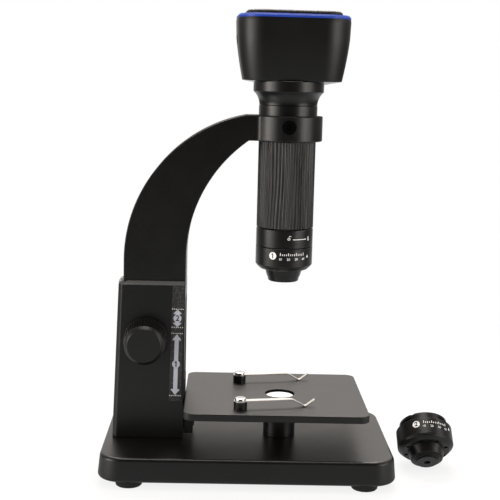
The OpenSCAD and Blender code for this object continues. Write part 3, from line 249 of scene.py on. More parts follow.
def soften(bm, width, steps=2, angle=40, where=None):
    """Rounds the edges whose faces meet at more than an angle."""
    sharp = [
        e
        for e in bm.edges
        if len(e.link_faces) == 2
        and e.calc_face_angle(0) > radians(angle)
        and (where is None or where((e.verts[0].co + e.verts[1].co) / 2))
    ]
    rounded(bm, sharp, width, steps)
    return bm


def sliced(bm, at, across):
    """Cuts all faces along a plane, so that they can bend there."""
    every = bm.verts[:] + bm.edges[:] + bm.faces[:]
    bmesh.ops.bisect_plane(bm, geom=every, plane_co=at, plane_no=across)


def placed(bm, matrix):
    bmesh.ops.transform(bm, matrix=matrix, verts=bm.verts)
    return bm


def on_axis(profile, steps=128, ring=True):
    """A lathe piece round the tube's axis."""
    return placed(turned(profile, steps, ring), ON_AXIS)


def along_y(x, y, z, towards=-1):
    """Stands a lathe piece on its side, with its face towards the viewer or away."""
    return moved(x, y, z) @ rotated(90 * -towards, "X")


def loose(bm, name):
    """A passing object for the tools that work on objects."""
    mesh = bpy.data.meshes.new(name)
    bm.to_mesh(mesh)
    bm.free()
    obj = bpy.data.objects.new(name, mesh)
    bpy.context.scene.collection.objects.link(obj)
    return obj


def worked(bm, tools, operation="DIFFERENCE"):
    """Takes tool shapes out of a shape, or welds them on with UNION."""
    objects = [loose(bm, "blank")] + [loose(t, "tool") for t in tools]
    for tool in objects[1:]:
        step = objects[0].modifiers.new("step", "BOOLEAN")
        step.operation = operation
        step.solver = "EXACT"
        step.object = tool
    made = bmesh.new()
    made.from_mesh(objects[0].evaluated_get(bpy.context.evaluated_depsgraph_get()).to_mesh())
    for obj in objects:
        mesh = obj.data
        bpy.data.objects.remove(obj)
        bpy.data.meshes.remove(mesh)
    bmesh.ops.remove_doubles(made, verts=made.verts, dist=0.0005)
    return made


def joined(shapes):
    """Several shapes as one."""
    whole = bmesh.new()
    for shape in shapes:
        mesh = bpy.data.meshes.new("part")
        shape.to_mesh(mesh)
        shape.free()
        whole.from_mesh(mesh)
        bpy.data.meshes.remove(mesh)
    return whole


def spread(verts, half_x, half_y, by, centre_x=0.0):
    """Moves a round-cornered outline out evenly; the halves reach to the middles of its corners."""
    for v in verts:
        x = v.co.x - centre_x
        out = Vector((x - max(-half_x, min(half_x, x)), v.co.y - max(-half_y, min(half_y, v.co.y)), 0))
        if out.length > 1e-6:
            v.co += out.normalized() * by


def arc(centre, radius, start, end, steps):
    """Points along part of a circle, by degrees."""
    angles = [radians(start + (end - start) * i / steps) for i in range(steps + 1)]
    return [(centre[0] + radius * cos(a), centre[1] + radius * sin(a)) for a in angles]


def piece(bm, name, body, surface, stands_for=(), crease=32):
    """Finishes a shape as one object in the frame and hangs it on its body."""
    obj = loose(placed(bm, IN_FRAME), name)
    mesh = obj.data
    mesh.materials.append(surface)
    mesh.shade_smooth()
    mesh.set_sharp_from_angle(angle=radians(crease))
    even = obj.modifiers.new("even shading", "WEIGHTED_NORMAL")
    even.keep_sharp = True
    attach(obj, body)
    if stands_for:
        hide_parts(*stands_for)
    return obj


def also(obj, surface, test):
    """Gives the faces whose outward direction passes a test another finish."""
    obj.data.materials.append(surface)
    for face in obj.data.polygons:
        if test(face.normal):
            face.material_index = 1


# Finishes


def node(tree, kind, inputs=None, **settings):
    """Adds a node; an input is a value, or a socket that is joined to it."""
    made = tree.nodes.new(kind)
    for key, value in settings.items():
        setattr(made, key, value)
    for key, value in (inputs or {}).items():
        if isinstance(value, bpy.types.NodeSocket):
            tree.links.new(value, made.inputs[key])
        else:
            made.inputs[key].default_value = value
    return made


def sums(tree, operation, *values):
    """A Math node's result."""
    return node(tree, "ShaderNodeMath", dict(enumerate(values)), operation=operation).outputs[0]


def ramp(tree, value, low, high, first=0.0, last=1.0, easing="LINEAR"):
    """A value carried from one range to another and held at its ends."""
    inputs = {"Value": value, "From Min": low, "From Max": high, "To Min": first, "To Max": last}
    return node(tree, "ShaderNodeMapRange", inputs, interpolation_type=easing).outputs["Result"]


def cloudy(tree, place, scale, detail, **more):
    """Soft random spots."""
    inputs = {"Vector": place, "Scale": scale, "Detail": detail, **more}
    return node(tree, "ShaderNodeTexNoise", inputs).outputs["Fac"]


def tinted(tree, share, first, last):
    """Two colours mixed by a share."""
    return node(tree, "ShaderNodeMix", {"Factor": share, 6: first, 7: last}, data_type="RGBA").outputs[2]


def levelled(tree, share, first, last):
    """Two values mixed by a share."""
    return node(tree, "ShaderNodeMix", {"Factor": share, 2: first, 3: last}, data_type="FLOAT").outputs[0]


def effect(name, takes, gives):
    """A shared effect as a node group with named sockets."""
    tree = bpy.data.node_groups.new(name, "ShaderNodeTree")
    for key, kind in takes.items():
        tree.interface.new_socket(key, in_out="INPUT", socket_type="NodeSocket" + kind)
    for key, kind in gives.items():
        tree.interface.new_socket(key, in_out="OUTPUT", socket_type="NodeSocket" + kind)
    return tree, tree.nodes.new("NodeGroupInput").outputs, tree.nodes.new("NodeGroupOutput").inputs


def moulded_grain():
    """Fine pitted texture of paint and moulded plastic."""
    tree, take, give = effect("moulded grain", {"Place": "Vector", "Grains": "Float"}, {"Height": "Float"})
    fine = cloudy(tree, take["Place"], take["Grains"], 2.0)
    wide = sums(tree, "MULTIPLY", take["Grains"], 0.55)
    pits = node(tree, "ShaderNodeTexVoronoi", {"Vector": take["Place"], "Scale": wide}).outputs["Distance"]
    tree.links.new(sums(tree, "MULTIPLY_ADD", pits, 0.45, fine), give["Height"])
    return tree


def handled_surface():
    """Tone and gloss that wander over a surface, as handling and uneven paint leave them."""
    tree, take, give = effect(
        "handled surface",
        {"Place": "Vector", "Tone": "Color", "Pale Tone": "Color", "Rough": "Float", "Smudge": "Float",
         "Speck Scale": "Float"},
        {"Color": "Color", "Roughness": "Float"},
    )
    patch = ramp(tree, cloudy(tree, take["Place"], 38.0, 4.0, Distortion=0.6), 0.36, 0.66)
    speck = cloudy(tree, take["Place"], take["Speck Scale"], 1.0)
    share = sums(tree, "MULTIPLY_ADD", patch, 0.45, sums(tree, "MULTIPLY", speck, 0.55))
    tree.links.new(tinted(tree, share, take["Tone"], take["Pale Tone"]), give["Color"])
    drift = sums(tree, "MULTIPLY", sums(tree, "SUBTRACT", share, 0.5), take["Smudge"])
    tree.links.new(sums(tree, "ADD", take["Rough"], drift), give["Roughness"])
    return tree


def drawn_streaks():
    """Streaks along one direction: brushing on metal, the grain of the ribbed grip."""
    tree, take, give = effect(
        "drawn streaks", {"Place": "Vector", "Stretch": "Vector", "Scale": "Float"}, {"Streak": "Float"}
    )
    stretched = node(
        tree, "ShaderNodeVectorMath", {0: take["Place"], 1: take["Stretch"]}, operation="MULTIPLY"
    ).outputs["Vector"]
    lines = cloudy(tree, stretched, take["Scale"], 4.0, Roughness=0.6)
    tree.links.new(ramp(tree, lines, 0.3, 0.7), give["Streak"])
    return tree


def tool_lines():
    """Rings that a lathe tool leaves round a turned part."""
    tree, take, give = effect("tool lines", {"Place": "Vector", "Lines": "Float"}, {"Height": "Float"})
    rings = node(
        tree,
        "ShaderNodeTexWave",
        {"Vector": take["Place"], "Scale": take["Lines"], "Distortion": 0.4, "Detail": 1.0},
        wave_type="BANDS",
        bands_direction="Z",
    ).outputs["Fac"]
    tree.links.new(rings, give["Height"])
    return tree


def settled_dust():
    """A thin film of dust on faces that look up."""
    tree, take, give = effect("settled dust", {"Place": "Vector", "Amount": "Float"}, {"Dust": "Float"})
    outward = node(tree, "ShaderNodeTexCoord").outputs["Normal"]
    level = ramp(tree, node(tree, "ShaderNodeSeparateXYZ", {0: outward}).outputs["Z"], 0.55, 0.98)
    fleck = ramp(tree, cloudy(tree, take["Place"], 1500.0, 5.0), 0.42, 0.75)
    film = sums(tree, "MULTIPLY", sums(tree, "MULTIPLY", level, fleck), take["Amount"])
    tree.links.new(film, give["Dust"])
    return tree


GRAIN = moulded_grain()
HANDLED = handled_surface()
STREAKS = drawn_streaks()
LINES = tool_lines()
DUST = settled_dust()


def grouped(tree, group, inputs):
    return node(tree, "ShaderNodeGroup", inputs, node_tree=group).outputs


def bare_finish(name):
    """A material with its shader, and where its patterns lie."""
    mat = bpy.data.materials.new(name)
    mat.use_nodes = True
    tree = mat.node_tree
    tree.nodes.clear()
    shader = node(tree, "ShaderNodeBsdfPrincipled")
    node(tree, "ShaderNodeOutputMaterial", {"Surface": shader.outputs[0]})
    place = node(tree, "ShaderNodeTexCoord").outputs["Object"]
    return mat, tree, shader, place


def worn_by(tree, place, tone, pale, rough, smudge, specks):
    """A handled surface's colour and roughness."""
    inputs = {"Place": place, "Tone": tone, "Pale Tone": pale, "Rough": rough, "Smudge": smudge,
              "Speck Scale": specks}
    worn = grouped(tree, HANDLED, inputs)
    return worn["Color"], worn["Roughness"]


def in_relief(tree, shader, height, strength, distance):
    relief = node(tree, "ShaderNodeBump", {"Height": height, "Strength": strength, "Distance": distance})
    tree.links.new(relief.outputs["Normal"], shader.inputs["Normal"])


def coloured(tree, shader, colour, roughness):
    tree.links.new(colour, shader.inputs["Base Color"])
    tree.links.new(roughness, shader.inputs["Roughness"])


def rgb(*value):
    return (*value, 1.0) if len(value) == 3 else (value[0],) * 3 + (1.0,)


FLECK_GREY, DUST_GREY = rgb(0.12, 0.117, 0.114), rgb(0.3, 0.29, 0.28)


def finish(name, tone, pale, rough, smudge=0.06, grains=1800.0, depth=0.01, specks=1600.0, dust=0.0,
           flecks=0.0, metallic=0.0, ior=1.5, lines=0.0, streak=None, streak_scale=900.0):
    """A surface with wandering tone and gloss, grain in relief, and what else it is given."""
    mat, tree, shader, place = bare_finish(name)
    colour, roughness = worn_by(tree, place, tone, pale, rough, smudge, specks)
    height = grouped(tree, GRAIN, {"Place": place, "Grains": grains})["Height"]
    if lines:
        rings = grouped(tree, LINES, {"Place": place, "Lines": lines})["Height"]
        height = sums(tree, "MULTIPLY_ADD", rings, 0.5, height)
    if streak:
        drag = grouped(tree, STREAKS, {"Place": place, "Stretch": streak, "Scale": streak_scale})["Streak"]
        height = sums(tree, "MULTIPLY_ADD", drag, 1.2, height)
        roughness = sums(tree, "MULTIPLY_ADD", sums(tree, "SUBTRACT", drag, 0.5), 0.08, roughness)
    if flecks:
        spots = ramp(tree, cloudy(tree, place, flecks, 3.0), 0.53, 0.74)
        colour = tinted(tree, spots, colour, FLECK_GREY)
    if dust:
        film = grouped(tree, DUST, {"Place": place, "Amount": dust})["Dust"]
        colour = tinted(tree, film, colour, DUST_GREY)
        roughness = sums(tree, "MULTIPLY_ADD", film, 0.4, roughness)
    coloured(tree, shader, colour, roughness)
    in_relief(tree, shader, height, 1.0, depth * 0.001)
    shader.inputs["Metallic"].default_value = metallic
    shader.inputs["IOR"].default_value = ior
    return mat


STAND_TONES = rgb(0.0033, 0.0032, 0.0031), rgb(0.0056, 0.0054, 0.0053)
HEAD_TONES = rgb(0.0028, 0.0027, 0.0026), rgb(0.0044, 0.0043, 0.0042)
STAND_PAINT = finish(
    "satin stand paint", *STAND_TONES, rough=0.35, smudge=0.07, grains=1150.0, depth=0.035, specks=900.0,
    dust=0.012,
)
STAGE_PAINT = finish(
    "satin stage paint", rgb(0.0036, 0.0035, 0.0034), rgb(0.0062, 0.006, 0.0058), rough=0.4, smudge=0.07,
    grains=1200.0, depth=0.035, specks=950.0, dust=0.012,
)
HEAD_PLASTIC = finish(
    "fine matt plastic", *HEAD_TONES, rough=0.43, grains=2600.0, depth=0.006, specks=2200.0, dust=0.01
)
HEAD_SMOOTH = finish("smooth plastic", *HEAD_TONES, rough=0.12, smudge=0.04, depth=0.001)
STAND_ROUGH = finish(
    "unrubbed stand paint", *STAND_TONES, rough=0.72, smudge=0.07, grains=1150.0, depth=0.035, specks=900.0,
    dust=0.012,
)
TUBE_BLACK = finish(
    "turned black", rgb(0.003, 0.0029, 0.0028), rgb(0.0048, 0.0047, 0.0046), rough=0.34, grains=2400.0,
    depth=0.004, specks=2000.0, dust=0.01, lines=1400.0,
)
KNOB_PLASTIC = finish(
    "knob plastic", rgb(0.004, 0.0039, 0.0038), rgb(0.0064, 0.0062, 0.006), rough=0.37, grains=2200.0,
    depth=0.008, dust=0.012,
)
COVER_GLOSS = finish(
    "smooth cover plastic", rgb(0.0045, 0.0045, 0.0046), rgb(0.007, 0.007, 0.0072), rough=0.46,
    grains=700.0, depth=0.0015, dust=0.01,
)
TRIM_BLUE = finish(
    "satin blue trim", rgb(0.005, 0.037, 0.32), rgb(0.008, 0.048, 0.39), rough=0.42, smudge=0.05,
    grains=1500.0, depth=0.002, ior=1.38,
)
FOOT_RUBBER = finish(
    "foot rubber", rgb(0.004), rgb(0.008), rough=0.8, smudge=0.1, grains=3000.0, depth=0.03, specks=2600.0,
    dust=0.015,
)
LABEL_FILM = finish(
    "label film", rgb(0.006), rgb(0.03, 0.03, 0.029), rough=0.5, smudge=0.12, grains=1100.0, depth=0.03,
    specks=1000.0, flecks=1300.0,
)
PRINT_GREY = finish(
    "grey print", rgb(0.33, 0.35, 0.41), rgb(0.42, 0.44, 0.5), rough=0.5, grains=2500.0, depth=0.004,
    specks=1800.0,
)
PRINT_WHITE = finish("white print", rgb(0.78), rgb(0.9), rough=0.45, grains=2500.0, depth=0.003)
# Near-black, rough and hardly glossy: painted shade for the clamp's hole in the ring and for the wall of
# the stage's light hole.
PAINTED_SHADE_BLACK = finish(
    "blackened screw", rgb(0.0012), rgb(0.0022), rough=0.85, smudge=0.1, grains=1500.0, ior=1.12
)
PRINT_DARK = finish("dark print", rgb(0.006), rgb(0.01), rough=0.55, grains=2500.0, depth=0.003)
WHITE_DISC = finish("milky disc", rgb(0.86), rgb(0.92), rough=0.32, smudge=0.05, grains=1500.0, depth=0.002)
STEEL = finish(
    "machined steel", rgb(0.42, 0.42, 0.43), rgb(0.56, 0.56, 0.57), rough=0.28, smudge=0.14, grains=2500.0,
    depth=0.004, metallic=1.0, streak=(1.0, 1.0, 0.05), streak_scale=1500.0,
)
ZINC = finish(
    "zinc plate", rgb(0.36, 0.37, 0.38), rgb(0.52, 0.53, 0.55), rough=0.42, smudge=0.2, grains=500.0,
    depth=0.006, metallic=1.0, specks=260.0,
)
CHROME = finish(
    "bright chrome", rgb(0.68, 0.69, 0.7), rgb(0.78, 0.79, 0.8), rough=0.2, grains=1200.0, depth=0.001,
    metallic=1.0,
)
NICKEL = finish(
    "spring nickel", rgb(0.82, 0.79, 0.75), rgb(0.9, 0.87, 0.83), rough=0.3, smudge=0.1, grains=2500.0,
    depth=0.003, metallic=1.0, streak=(0.08, 1.0, 1.0), streak_scale=2200.0,
)
BRASS = finish(
    "turned brass", rgb(0.5, 0.34, 0.1), rgb(0.66, 0.47, 0.18), rough=0.3, smudge=0.12, grains=2200.0,
    depth=0.004, metallic=1.0, lines=1800.0,
)
GOLD = finish(
    "gold contacts", rgb(0.72, 0.48, 0.14), rgb(0.84, 0.6, 0.22), rough=0.24, smudge=0.1, depth=0.002,
    metallic=1.0,
)
CELL_FOIL = finish(
    "cell foil", rgb(0.5, 0.51, 0.53), rgb(0.66, 0.67, 0.7), rough=0.34, smudge=0.2, grains=160.0,
    depth=0.25, metallic=1.0, specks=90.0,
)
# The lenses' lamp boards are darkened as painted shade, so that the lamp holes read as shaded hollows.
SHADED_LAMP_BOARD = finish("dark lamp board", rgb(0.012), rgb(0.03), rough=0.4, smudge=0.1, depth=0.004)


def grip_finish():
    """Grained rubber of the focus sleeve, its streaks along the tube."""
    mat, tree, shader, place = bare_finish("grained grip")
    drag = {"Place": place, "Stretch": (1.0, 1.0, 0.035), "Scale": 560.0}
    streak = grouped(tree, STREAKS, drag)["Streak"]
    colour, roughness = worn_by(tree, place, rgb(0.0032), rgb(0.0058), 0.4, 0.08, 2000.0)
    coloured(tree, shader, tinted(tree, streak, colour, rgb(0.027, 0.026, 0.025)), roughness)
    grain = grouped(tree, GRAIN, {"Place": place, "Grains": 2400.0})["Height"]
    in_relief(tree, shader, sums(tree, "MULTIPLY_ADD", streak, 3.0, grain), 1.0, 0.00004)
    return mat


def circuit_finish():
    """Green board with copper tracks under its lacquer."""
    mat, tree, shader, place = bare_finish("circuit board")
    greens = {"Color1": rgb(0.012, 0.12, 0.05), "Color2": rgb(0.016, 0.15, 0.065)}
    tracks = {"Mortar": rgb(0.05, 0.26, 0.11), "Mortar Size": 0.06, "Brick Width": 0.9, "Row Height": 0.22}
    cells = node(tree, "ShaderNodeTexBrick", {"Vector": place, "Scale": 190.0, **greens, **tracks}).outputs
    pads = node(tree, "ShaderNodeTexVoronoi", {"Vector": place, "Scale": 260.0}).outputs["Distance"]
    dots = ramp(tree, pads, 0.16, 0.12)
    tone = tinted(tree, dots, cells["Color"], rgb(0.62, 0.58, 0.46))
    tree.links.new(tone, shader.inputs["Base Color"])
    tree.links.new(dots, shader.inputs["Metallic"])
    in_relief(tree, shader, cells["Fac"], 0.4, 0.00003)
    shader.inputs["Roughness"].default_value = 0.32
    return mat


def glass_finish():
    """Coated lens glass."""
    mat, tree, shader, place = bare_finish("coated glass")
    coloured(
        tree, shader, *worn_by(tree, place, rgb(0.86, 0.93, 0.97), rgb(0.93, 0.97, 1.0), 0.03, 0.03, 700.0)
    )
    shader.inputs["Transmission Weight"].default_value = 1.0
    shader.inputs["IOR"].default_value = 1.52
    shader.inputs["Coat Weight"].default_value = 0.4
    shader.inputs["Coat Tint"].default_value = rgb(0.7, 0.78, 1.0)
    return mat


GRIP = grip_finish()
CIRCUIT = circuit_finish()
GLASS = glass_finish()
disc_shader = WHITE_DISC.node_tree.nodes["Principled BSDF"]
disc_shader.inputs["Emission Color"].default_value = rgb(1.0, 0.99, 0.97)
disc_shader.inputs["Emission Strength"].default_value = 0.35


# Base and feet


def base_shape():
    """A low block that leans out a little towards its foot."""
    bm = tablet(0, BASE_W, BASE_D, BASE_LOW, BASE_TOP, BASE_R, 14)
    low = [v for v in bm.verts if v.co.z < (BASE_LOW + BASE_TOP) / 2]
    spread(low, BASE_W / 2 - BASE_R, BASE_D / 2 - BASE_R, BASE_LEAN)
    return soften(bm, BASE_EDGE, 5)


def foot_shape(x, y):
    """A rubber foot with a well for its screw."""
    top = BASE_LOW - SEAM
    profile = [
        (0, FOOT_WELL), (FOOT_WELL_R, FOOT_WELL), (FOOT_WELL_R, 0), (FOOT_R - 0.5, 0), (FOOT_R, 0.5),
        (FOOT_TOP_R - 0.15, 3.6), (FOOT_TOP_R, top), (0, top),
    ]
    return placed(turned(profile, 48), moved(x, y))


piece(base_shape(), "base_body", "stand", STAND_PAINT, ["base_shell"])
feet = [foot_shape(x, y) for x in (-FOOT_X, FOOT_X) for y in (-FOOT_Y, FOOT_Y)]
piece(joined(feet), "base_feet", "stand", FOOT_RUBBER, ["rubber_feet"])


# Column


def rack_room():
    """Room for the rack to rise through the column's head into the arm."""
    low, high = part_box("rack")
    into_stand = IN_FRAME.inverted()
    low, high = into_stand @ low, into_stand @ high
    return slab(
        (low.x - RACK_SLACK, low.y - RACK_SLACK, SLOT_TOP),
        (high.x + RACK_SLACK, high.y + RACK_SLACK, high.z + RACK_TRAVEL),
    )


def column_shape():
    """A leaning back, a bevelled head, a hollow with a slot at the front, and seats for two screws."""
    bm = slab((COL_REAR, -COL_HALF, BASE_TOP + HAIR), (COL_FRONT, COL_HALF, COL_TOP))
    foot = [v for v in bm.verts if v.co.x < COL_REAR + 1 and v.co.z < COL_TOP - 1]
    bmesh.ops.translate(bm, vec=(COL_REAR_FOOT - COL_REAR, 0, 0), verts=foot)
    rear = [e for e in upright(bm, 1) if max(v.co.x for v in e.verts) < COL_REAR + 1]
    rounded(bm, rear, COL_CHAMFER, 1)
    top = [f for f in bm.faces if f.normal.z > 0.9]
    shoulder = rise(bm, top, (0, 0, BEVEL_TOP - COL_TOP))
    bmesh.ops.scale(bm, vec=(1, ARM_HALF / COL_HALF, 1), verts=shoulder)
    back = [v for v in shoulder if v.co.x < COL_FRONT - 10]
    bmesh.ops.translate(bm, vec=(BEVEL_IN, 0, 0), verts=back)
    soften(clean(bm), STAND_EDGE, 3, 20)
    tools = [
        slab(HOLLOW_LOW, HOLLOW_HIGH),
        slab((HOLLOW_HIGH[0] - 1, -SLOT_HALF, BASE_TOP - 1), (COL_FRONT + 2, SLOT_HALF, SLOT_TOP)),
        rack_room(),
    ]
    for y in (-ARM_SCREW_Y, ARM_SCREW_Y):
        across = moved(ARM_SCREW_X, y, ARM_SCREW_Z) @ rotated(-90, "Y")
        tools.append(placed(rod(ARM_SCREW_R, 0, 8), across))
    return worked(bm, tools)


piece(column_shape(), "column_body", "stand", STAND_PAINT, ["column"])


# Arm and ring


def swept(bm, foot, centre, height, end, steps=44):
    """One long face of the arm: straight up, round its curve, then level to the ring."""
    start = [bm.verts.new((foot, y, BEVEL_TOP + HAIR)) for y in (-ARM_HALF, ARM_HALF)]
    bend = [bm.verts.new((foot, y, centre[1])) for y in (-ARM_HALF, ARM_HALF)]
    bm.faces.new((start[0], start[1], bend[1], bend[0]))
    made = bmesh.ops.spin(
        bm,
        geom=bend + [bm.edges.get(bend)],
        cent=(centre[0], 0, centre[1]),
        axis=(0, 1, 0),
        angle=asin((height - centre[1]) / (centre[0] - foot)),
        steps=steps,
    )["geom_last"]
    level = bmesh.ops.extrude_edge_only(bm, edges=edges_in(made))["geom"]
    for v in corners_in(level):
        v.co = (end, v.co.y, height)


def ring_outline(blend_x, lean):
    """The arm's end seen from above: a hollow blend on each side runs into the ring."""
    near = arc((blend_x, -ARM_HALF - BLEND_R), BLEND_R, 90, lean, 8)
    round_part = arc((AXIS_X, 0), RING_R, lean - 180, 180 - lean, 96)
    far = arc((blend_x, ARM_HALF + BLEND_R), BLEND_R, -lean, -90, 8)
    return near + round_part[1:] + far[1:]


def arm_shape():
    """Two swept faces closed at their sides, the ring at their end, its bore and the clamp's hole."""
    blend_x = AXIS_X - sqrt((RING_R + BLEND_R) ** 2 - (ARM_HALF + BLEND_R) ** 2)
    lean = degrees(asin((ARM_HALF + BLEND_R) / (RING_R + BLEND_R)))
    bow = bmesh.new()
    swept(bow, ARM_BACK, OUTER_AT, RING_TOP, blend_x)
    swept(bow, COL_FRONT, INNER_AT, RING_LOW, blend_x)
    for y in (-ARM_HALF, ARM_HALF):
        rims = [e for e in bow.edges if e.is_boundary and all(abs(v.co.y - y) < 0.01 for v in e.verts)]
        bmesh.ops.bridge_loops(bow, edges=rims)
    foot = [e for e in bow.edges if e.is_boundary and all(v.co.z < BEVEL_TOP + 1 for v in e.verts)]
    bmesh.ops.holes_fill(bow, edges=foot, sides=4)
    ring = drawn(ring_outline(blend_x, lean), RING_LOW, RING_TOP)
    joint = [f for f in ring.faces if f.normal.x < -0.99 and abs(f.calc_center_median().x - blend_x) < 0.01]
    bmesh.ops.delete(ring, geom=joint, context="FACES")
    bm = clean(joined([bow, ring]))
    soften(bm, STAND_EDGE, 3, 60, lambda c: c.z > BEVEL_TOP + 0.5)
    below, above = RING_LOW - 2, RING_TOP + 2
    bore = on_axis(
        [(0, below), (RING_LIP_R, below), (RING_LIP_R, RING_LIP_TOP), (RING_BORE, RING_LIP_TOP),
         (RING_BORE, above), (0, above)],
        120,
        False,
    )
    hole = placed(rod(CLAMP_R + 0.06, 0, 7), along_y(AXIS_X, -RING_R + 4.5, CLAMP_Z))
    bm = worked(bm, [bore, hole, rack_room()])

    def at_hole(c):
        off = Vector((c.x - AXIS_X, c.z - CLAMP_Z)).length
        return abs(off - CLAMP_R) < 0.3 and c.y < -RING_R + 1.5

    return soften(bm, 0.45, 2, 40, at_hole)


def clamp_shape():
    """The clamp's grub screw, sunk in the ring, with a hexagon socket."""
    deep = RING_R - CLAMP_END - CLAMP_SUNK
    bm = turned([(0, 0), (CLAMP_R, 0), (CLAMP_R, deep - 0.3), (CLAMP_R - 0.3, deep), (0, deep)], 48)
    socket = bmesh.new()
    bmesh.ops.create_cone(
        socket, cap_ends=True, segments=6, radius1=CLAMP_KEY_R, radius2=CLAMP_KEY_R, depth=4.0,
        matrix=moved(0, 0, 2.5),
    )
    return placed(worked(bm, [socket]), along_y(AXIS_X, -CLAMP_END, CLAMP_Z))


arm = piece(arm_shape(), "arm_body", "stand", STAND_PAINT, ["arm"])
also(arm, STAND_ROUGH, lambda out: out.z > 0.15)
# The grub screw's near-black finish is painted shade for the dark hole it sits in.
piece(clamp_shape(), "clamp_grub", "clamp", PAINTED_SHADE_BLACK, ["clamp_screw"])


# Stage, bracket, lamp and clips


def stage_shape():
    """The stage plate with its stepped light hole."""
    bm = tablet(STAGE_X, STAGE_W, STAGE_D, STAGE_LOW, STAGE_TOP, STAGE_R, 10)
    soften(bm, STAGE_EDGE, 3)
    below, above, lamp_room, wall = STAGE_LOW - 1, STAGE_TOP + 1, LAMP_R + SEAM, HOLE_R + LINER
    hole = on_axis(
        [(0, below), (lamp_room, below), (lamp_room, LAMP_SEAT), (wall, LAMP_SEAT), (wall, above),
         (0, above)],
        96,
        False,
    )
    bm = worked(bm, [hole])

    def at_rim(c):
        return c.z > STAGE_TOP - 0.1 and abs(Vector((c.x - AXIS_X, c.y)).length - wall) < 0.2

    return soften(bm, RIM_EDGE, 2, 40, at_rim)


def liner_shape():
    """The wall of the light hole, near-black as painted shade for the hole's depth."""
    low, top, wall = LAMP_SEAT + HAIR, STAGE_TOP - 0.3, HOLE_R + LINER
    return on_axis([(HOLE_R, low), (wall, low), (wall, top), (HOLE_R + 0.1, top), (HOLE_R, top - 0.1)], 96)


def bracket_shape():
    """The stage's carrier: a plate on the carriage, a ledge under the stage and two stepped webs."""
    welds = [slab(*BRACKET_LEDGE)]
    for y in (-WEB_Y, WEB_Y):
        for reach, low in WEB_STEPS:
            welds.append(slab((WEB_BACK, y - WEB_HALF, low), (reach, y + WEB_HALF, WEB_TOP)))
    return soften(worked(slab(*BRACKET_PLATE), welds, "UNION"), 0.4, 2, 60)


def disc_shape():
    """The milky disc that fills the light hole."""
    top, side = STAGE_TOP - DISC_SUNK, HOLE_R - SEAM
    profile = [(0, LAMP_SEAT), (side, LAMP_SEAT), (side, top - 0.3), (HOLE_R - 0.4, top), (0, top)]
    return on_axis(profile, 96, False)


def lamp_shape():
    """The lamp's tube under the stage."""
    profile = [
        (LAMP_IN, LAMP_LOW), (LAMP_R - 0.3, LAMP_LOW), (LAMP_R, LAMP_LOW + 0.3), (LAMP_R, LAMP_TOP),
        (LAMP_IN, LAMP_TOP),
    ]
    return on_axis(profile, 96)


def at_clips(shape):
    """One shape under each clip's pivot, on the stage."""
    return joined([placed(shape(), moved(CLIP_X, y, STAGE_TOP)) for y in (CLIP_NEAR, CLIP_FAR)])


def post_shape():
    """The short pillar that a clip lies on."""
    profile = [(PIN_R, 0), (POST_R, 0), (POST_R, POST_H - 0.35), (POST_R - 0.35, POST_H), (PIN_R, POST_H)]
    return turned(profile, 64, True)


def cap_shape():
    """A cap screw with its pin in the post."""
    low, pin = POST_H + CAP_GAP, PIN_R - SEAM
    top = low + CAP_H
    profile = [
        (0, -PIN_DEEP), (pin, -PIN_DEEP), (pin, low), (CAP_R - 0.15, low), (CAP_R, low + 0.15),
        (CAP_R, top - 0.55), (CAP_R - 0.2, top - 0.2), (CAP_R - 0.6, top), (0, top),
    ]
    return turned(profile, 64)


def clip_shape(y):
    """A spring clip: an eye on the post, a tapering strip, and a vee that presses on the stage."""
    eye_r, pin = POST_R - 0.15, PIN_R + PIN_ROOM

    def half(x):
        return (CLIP_WIDE + (CLIP_NARROW - CLIP_WIDE) * x / CLIP_PATH[-1][0]) / 2

    bm = bmesh.new()
    start, level = CLIP_PATH[0]
    edges = [bm.edges.new([bm.verts.new((start, side * half(start), level)) for side in (-1, 1)])]
    for x, z in CLIP_PATH[1:]:
        made = bmesh.ops.extrude_edge_only(bm, edges=edges)["geom"]
        edges = edges_in(made)
        for v in corners_in(made):
            v.co = (x, half(x) if v.co.y > 0 else -half(x), z)
    bmesh.ops.recalc_face_normals(bm, faces=bm.faces)
    if sum(f.normal.z for f in bm.faces) < 0:
        bmesh.ops.reverse_faces(bm, faces=bm.faces)
    bmesh.ops.solidify(bm, geom=bm.faces, thickness=-CLIP_THICK)
    eye = turned([(pin, 0), (eye_r, 0), (eye_r, CLIP_THICK), (pin, CLIP_THICK)], 64, True)
    bm = worked(clean(bm), [eye], "UNION")
    bm = worked(bm, [rod(pin, -1, 2)])
    soften(bm, 0.08, 1, 60)
    return placed(bm, moved(CLIP_X, y, STAGE_TOP + POST_H + SEAM) @ rotated(CLIP_TURN))


piece(stage_shape(), "stage_top", "stage", STAGE_PAINT, ["stage_plate"])
# The light hole's wall is near-black as painted shade inside the hole.
piece(liner_shape(), "light_hole_wall", "stage", PAINTED_SHADE_BLACK)
piece(bracket_shape(), "stage_carrier", "stage", STAGE_PAINT, ["stage_bracket"])
piece(disc_shape(), "light_disc", "stage", WHITE_DISC, ["diffuser_disc"])
piece(lamp_shape(), "lamp_tube", "stage", TUBE_BLACK, ["lamp_housing"])
piece(at_clips(post_shape), "clip_pillars", "stage", TUBE_BLACK, ["clip_posts"])
piece(at_clips(cap_shape), "clip_screws", "stage", CHROME, ["clip_caps"])
piece(clip_shape(CLIP_NEAR), "near_spring_clip", "near_clip", NICKEL, ["clip_near"])
piece(clip_shape(CLIP_FAR), "far_spring_clip", "far_clip", NICKEL, ["clip_far"])


# Focus knobs


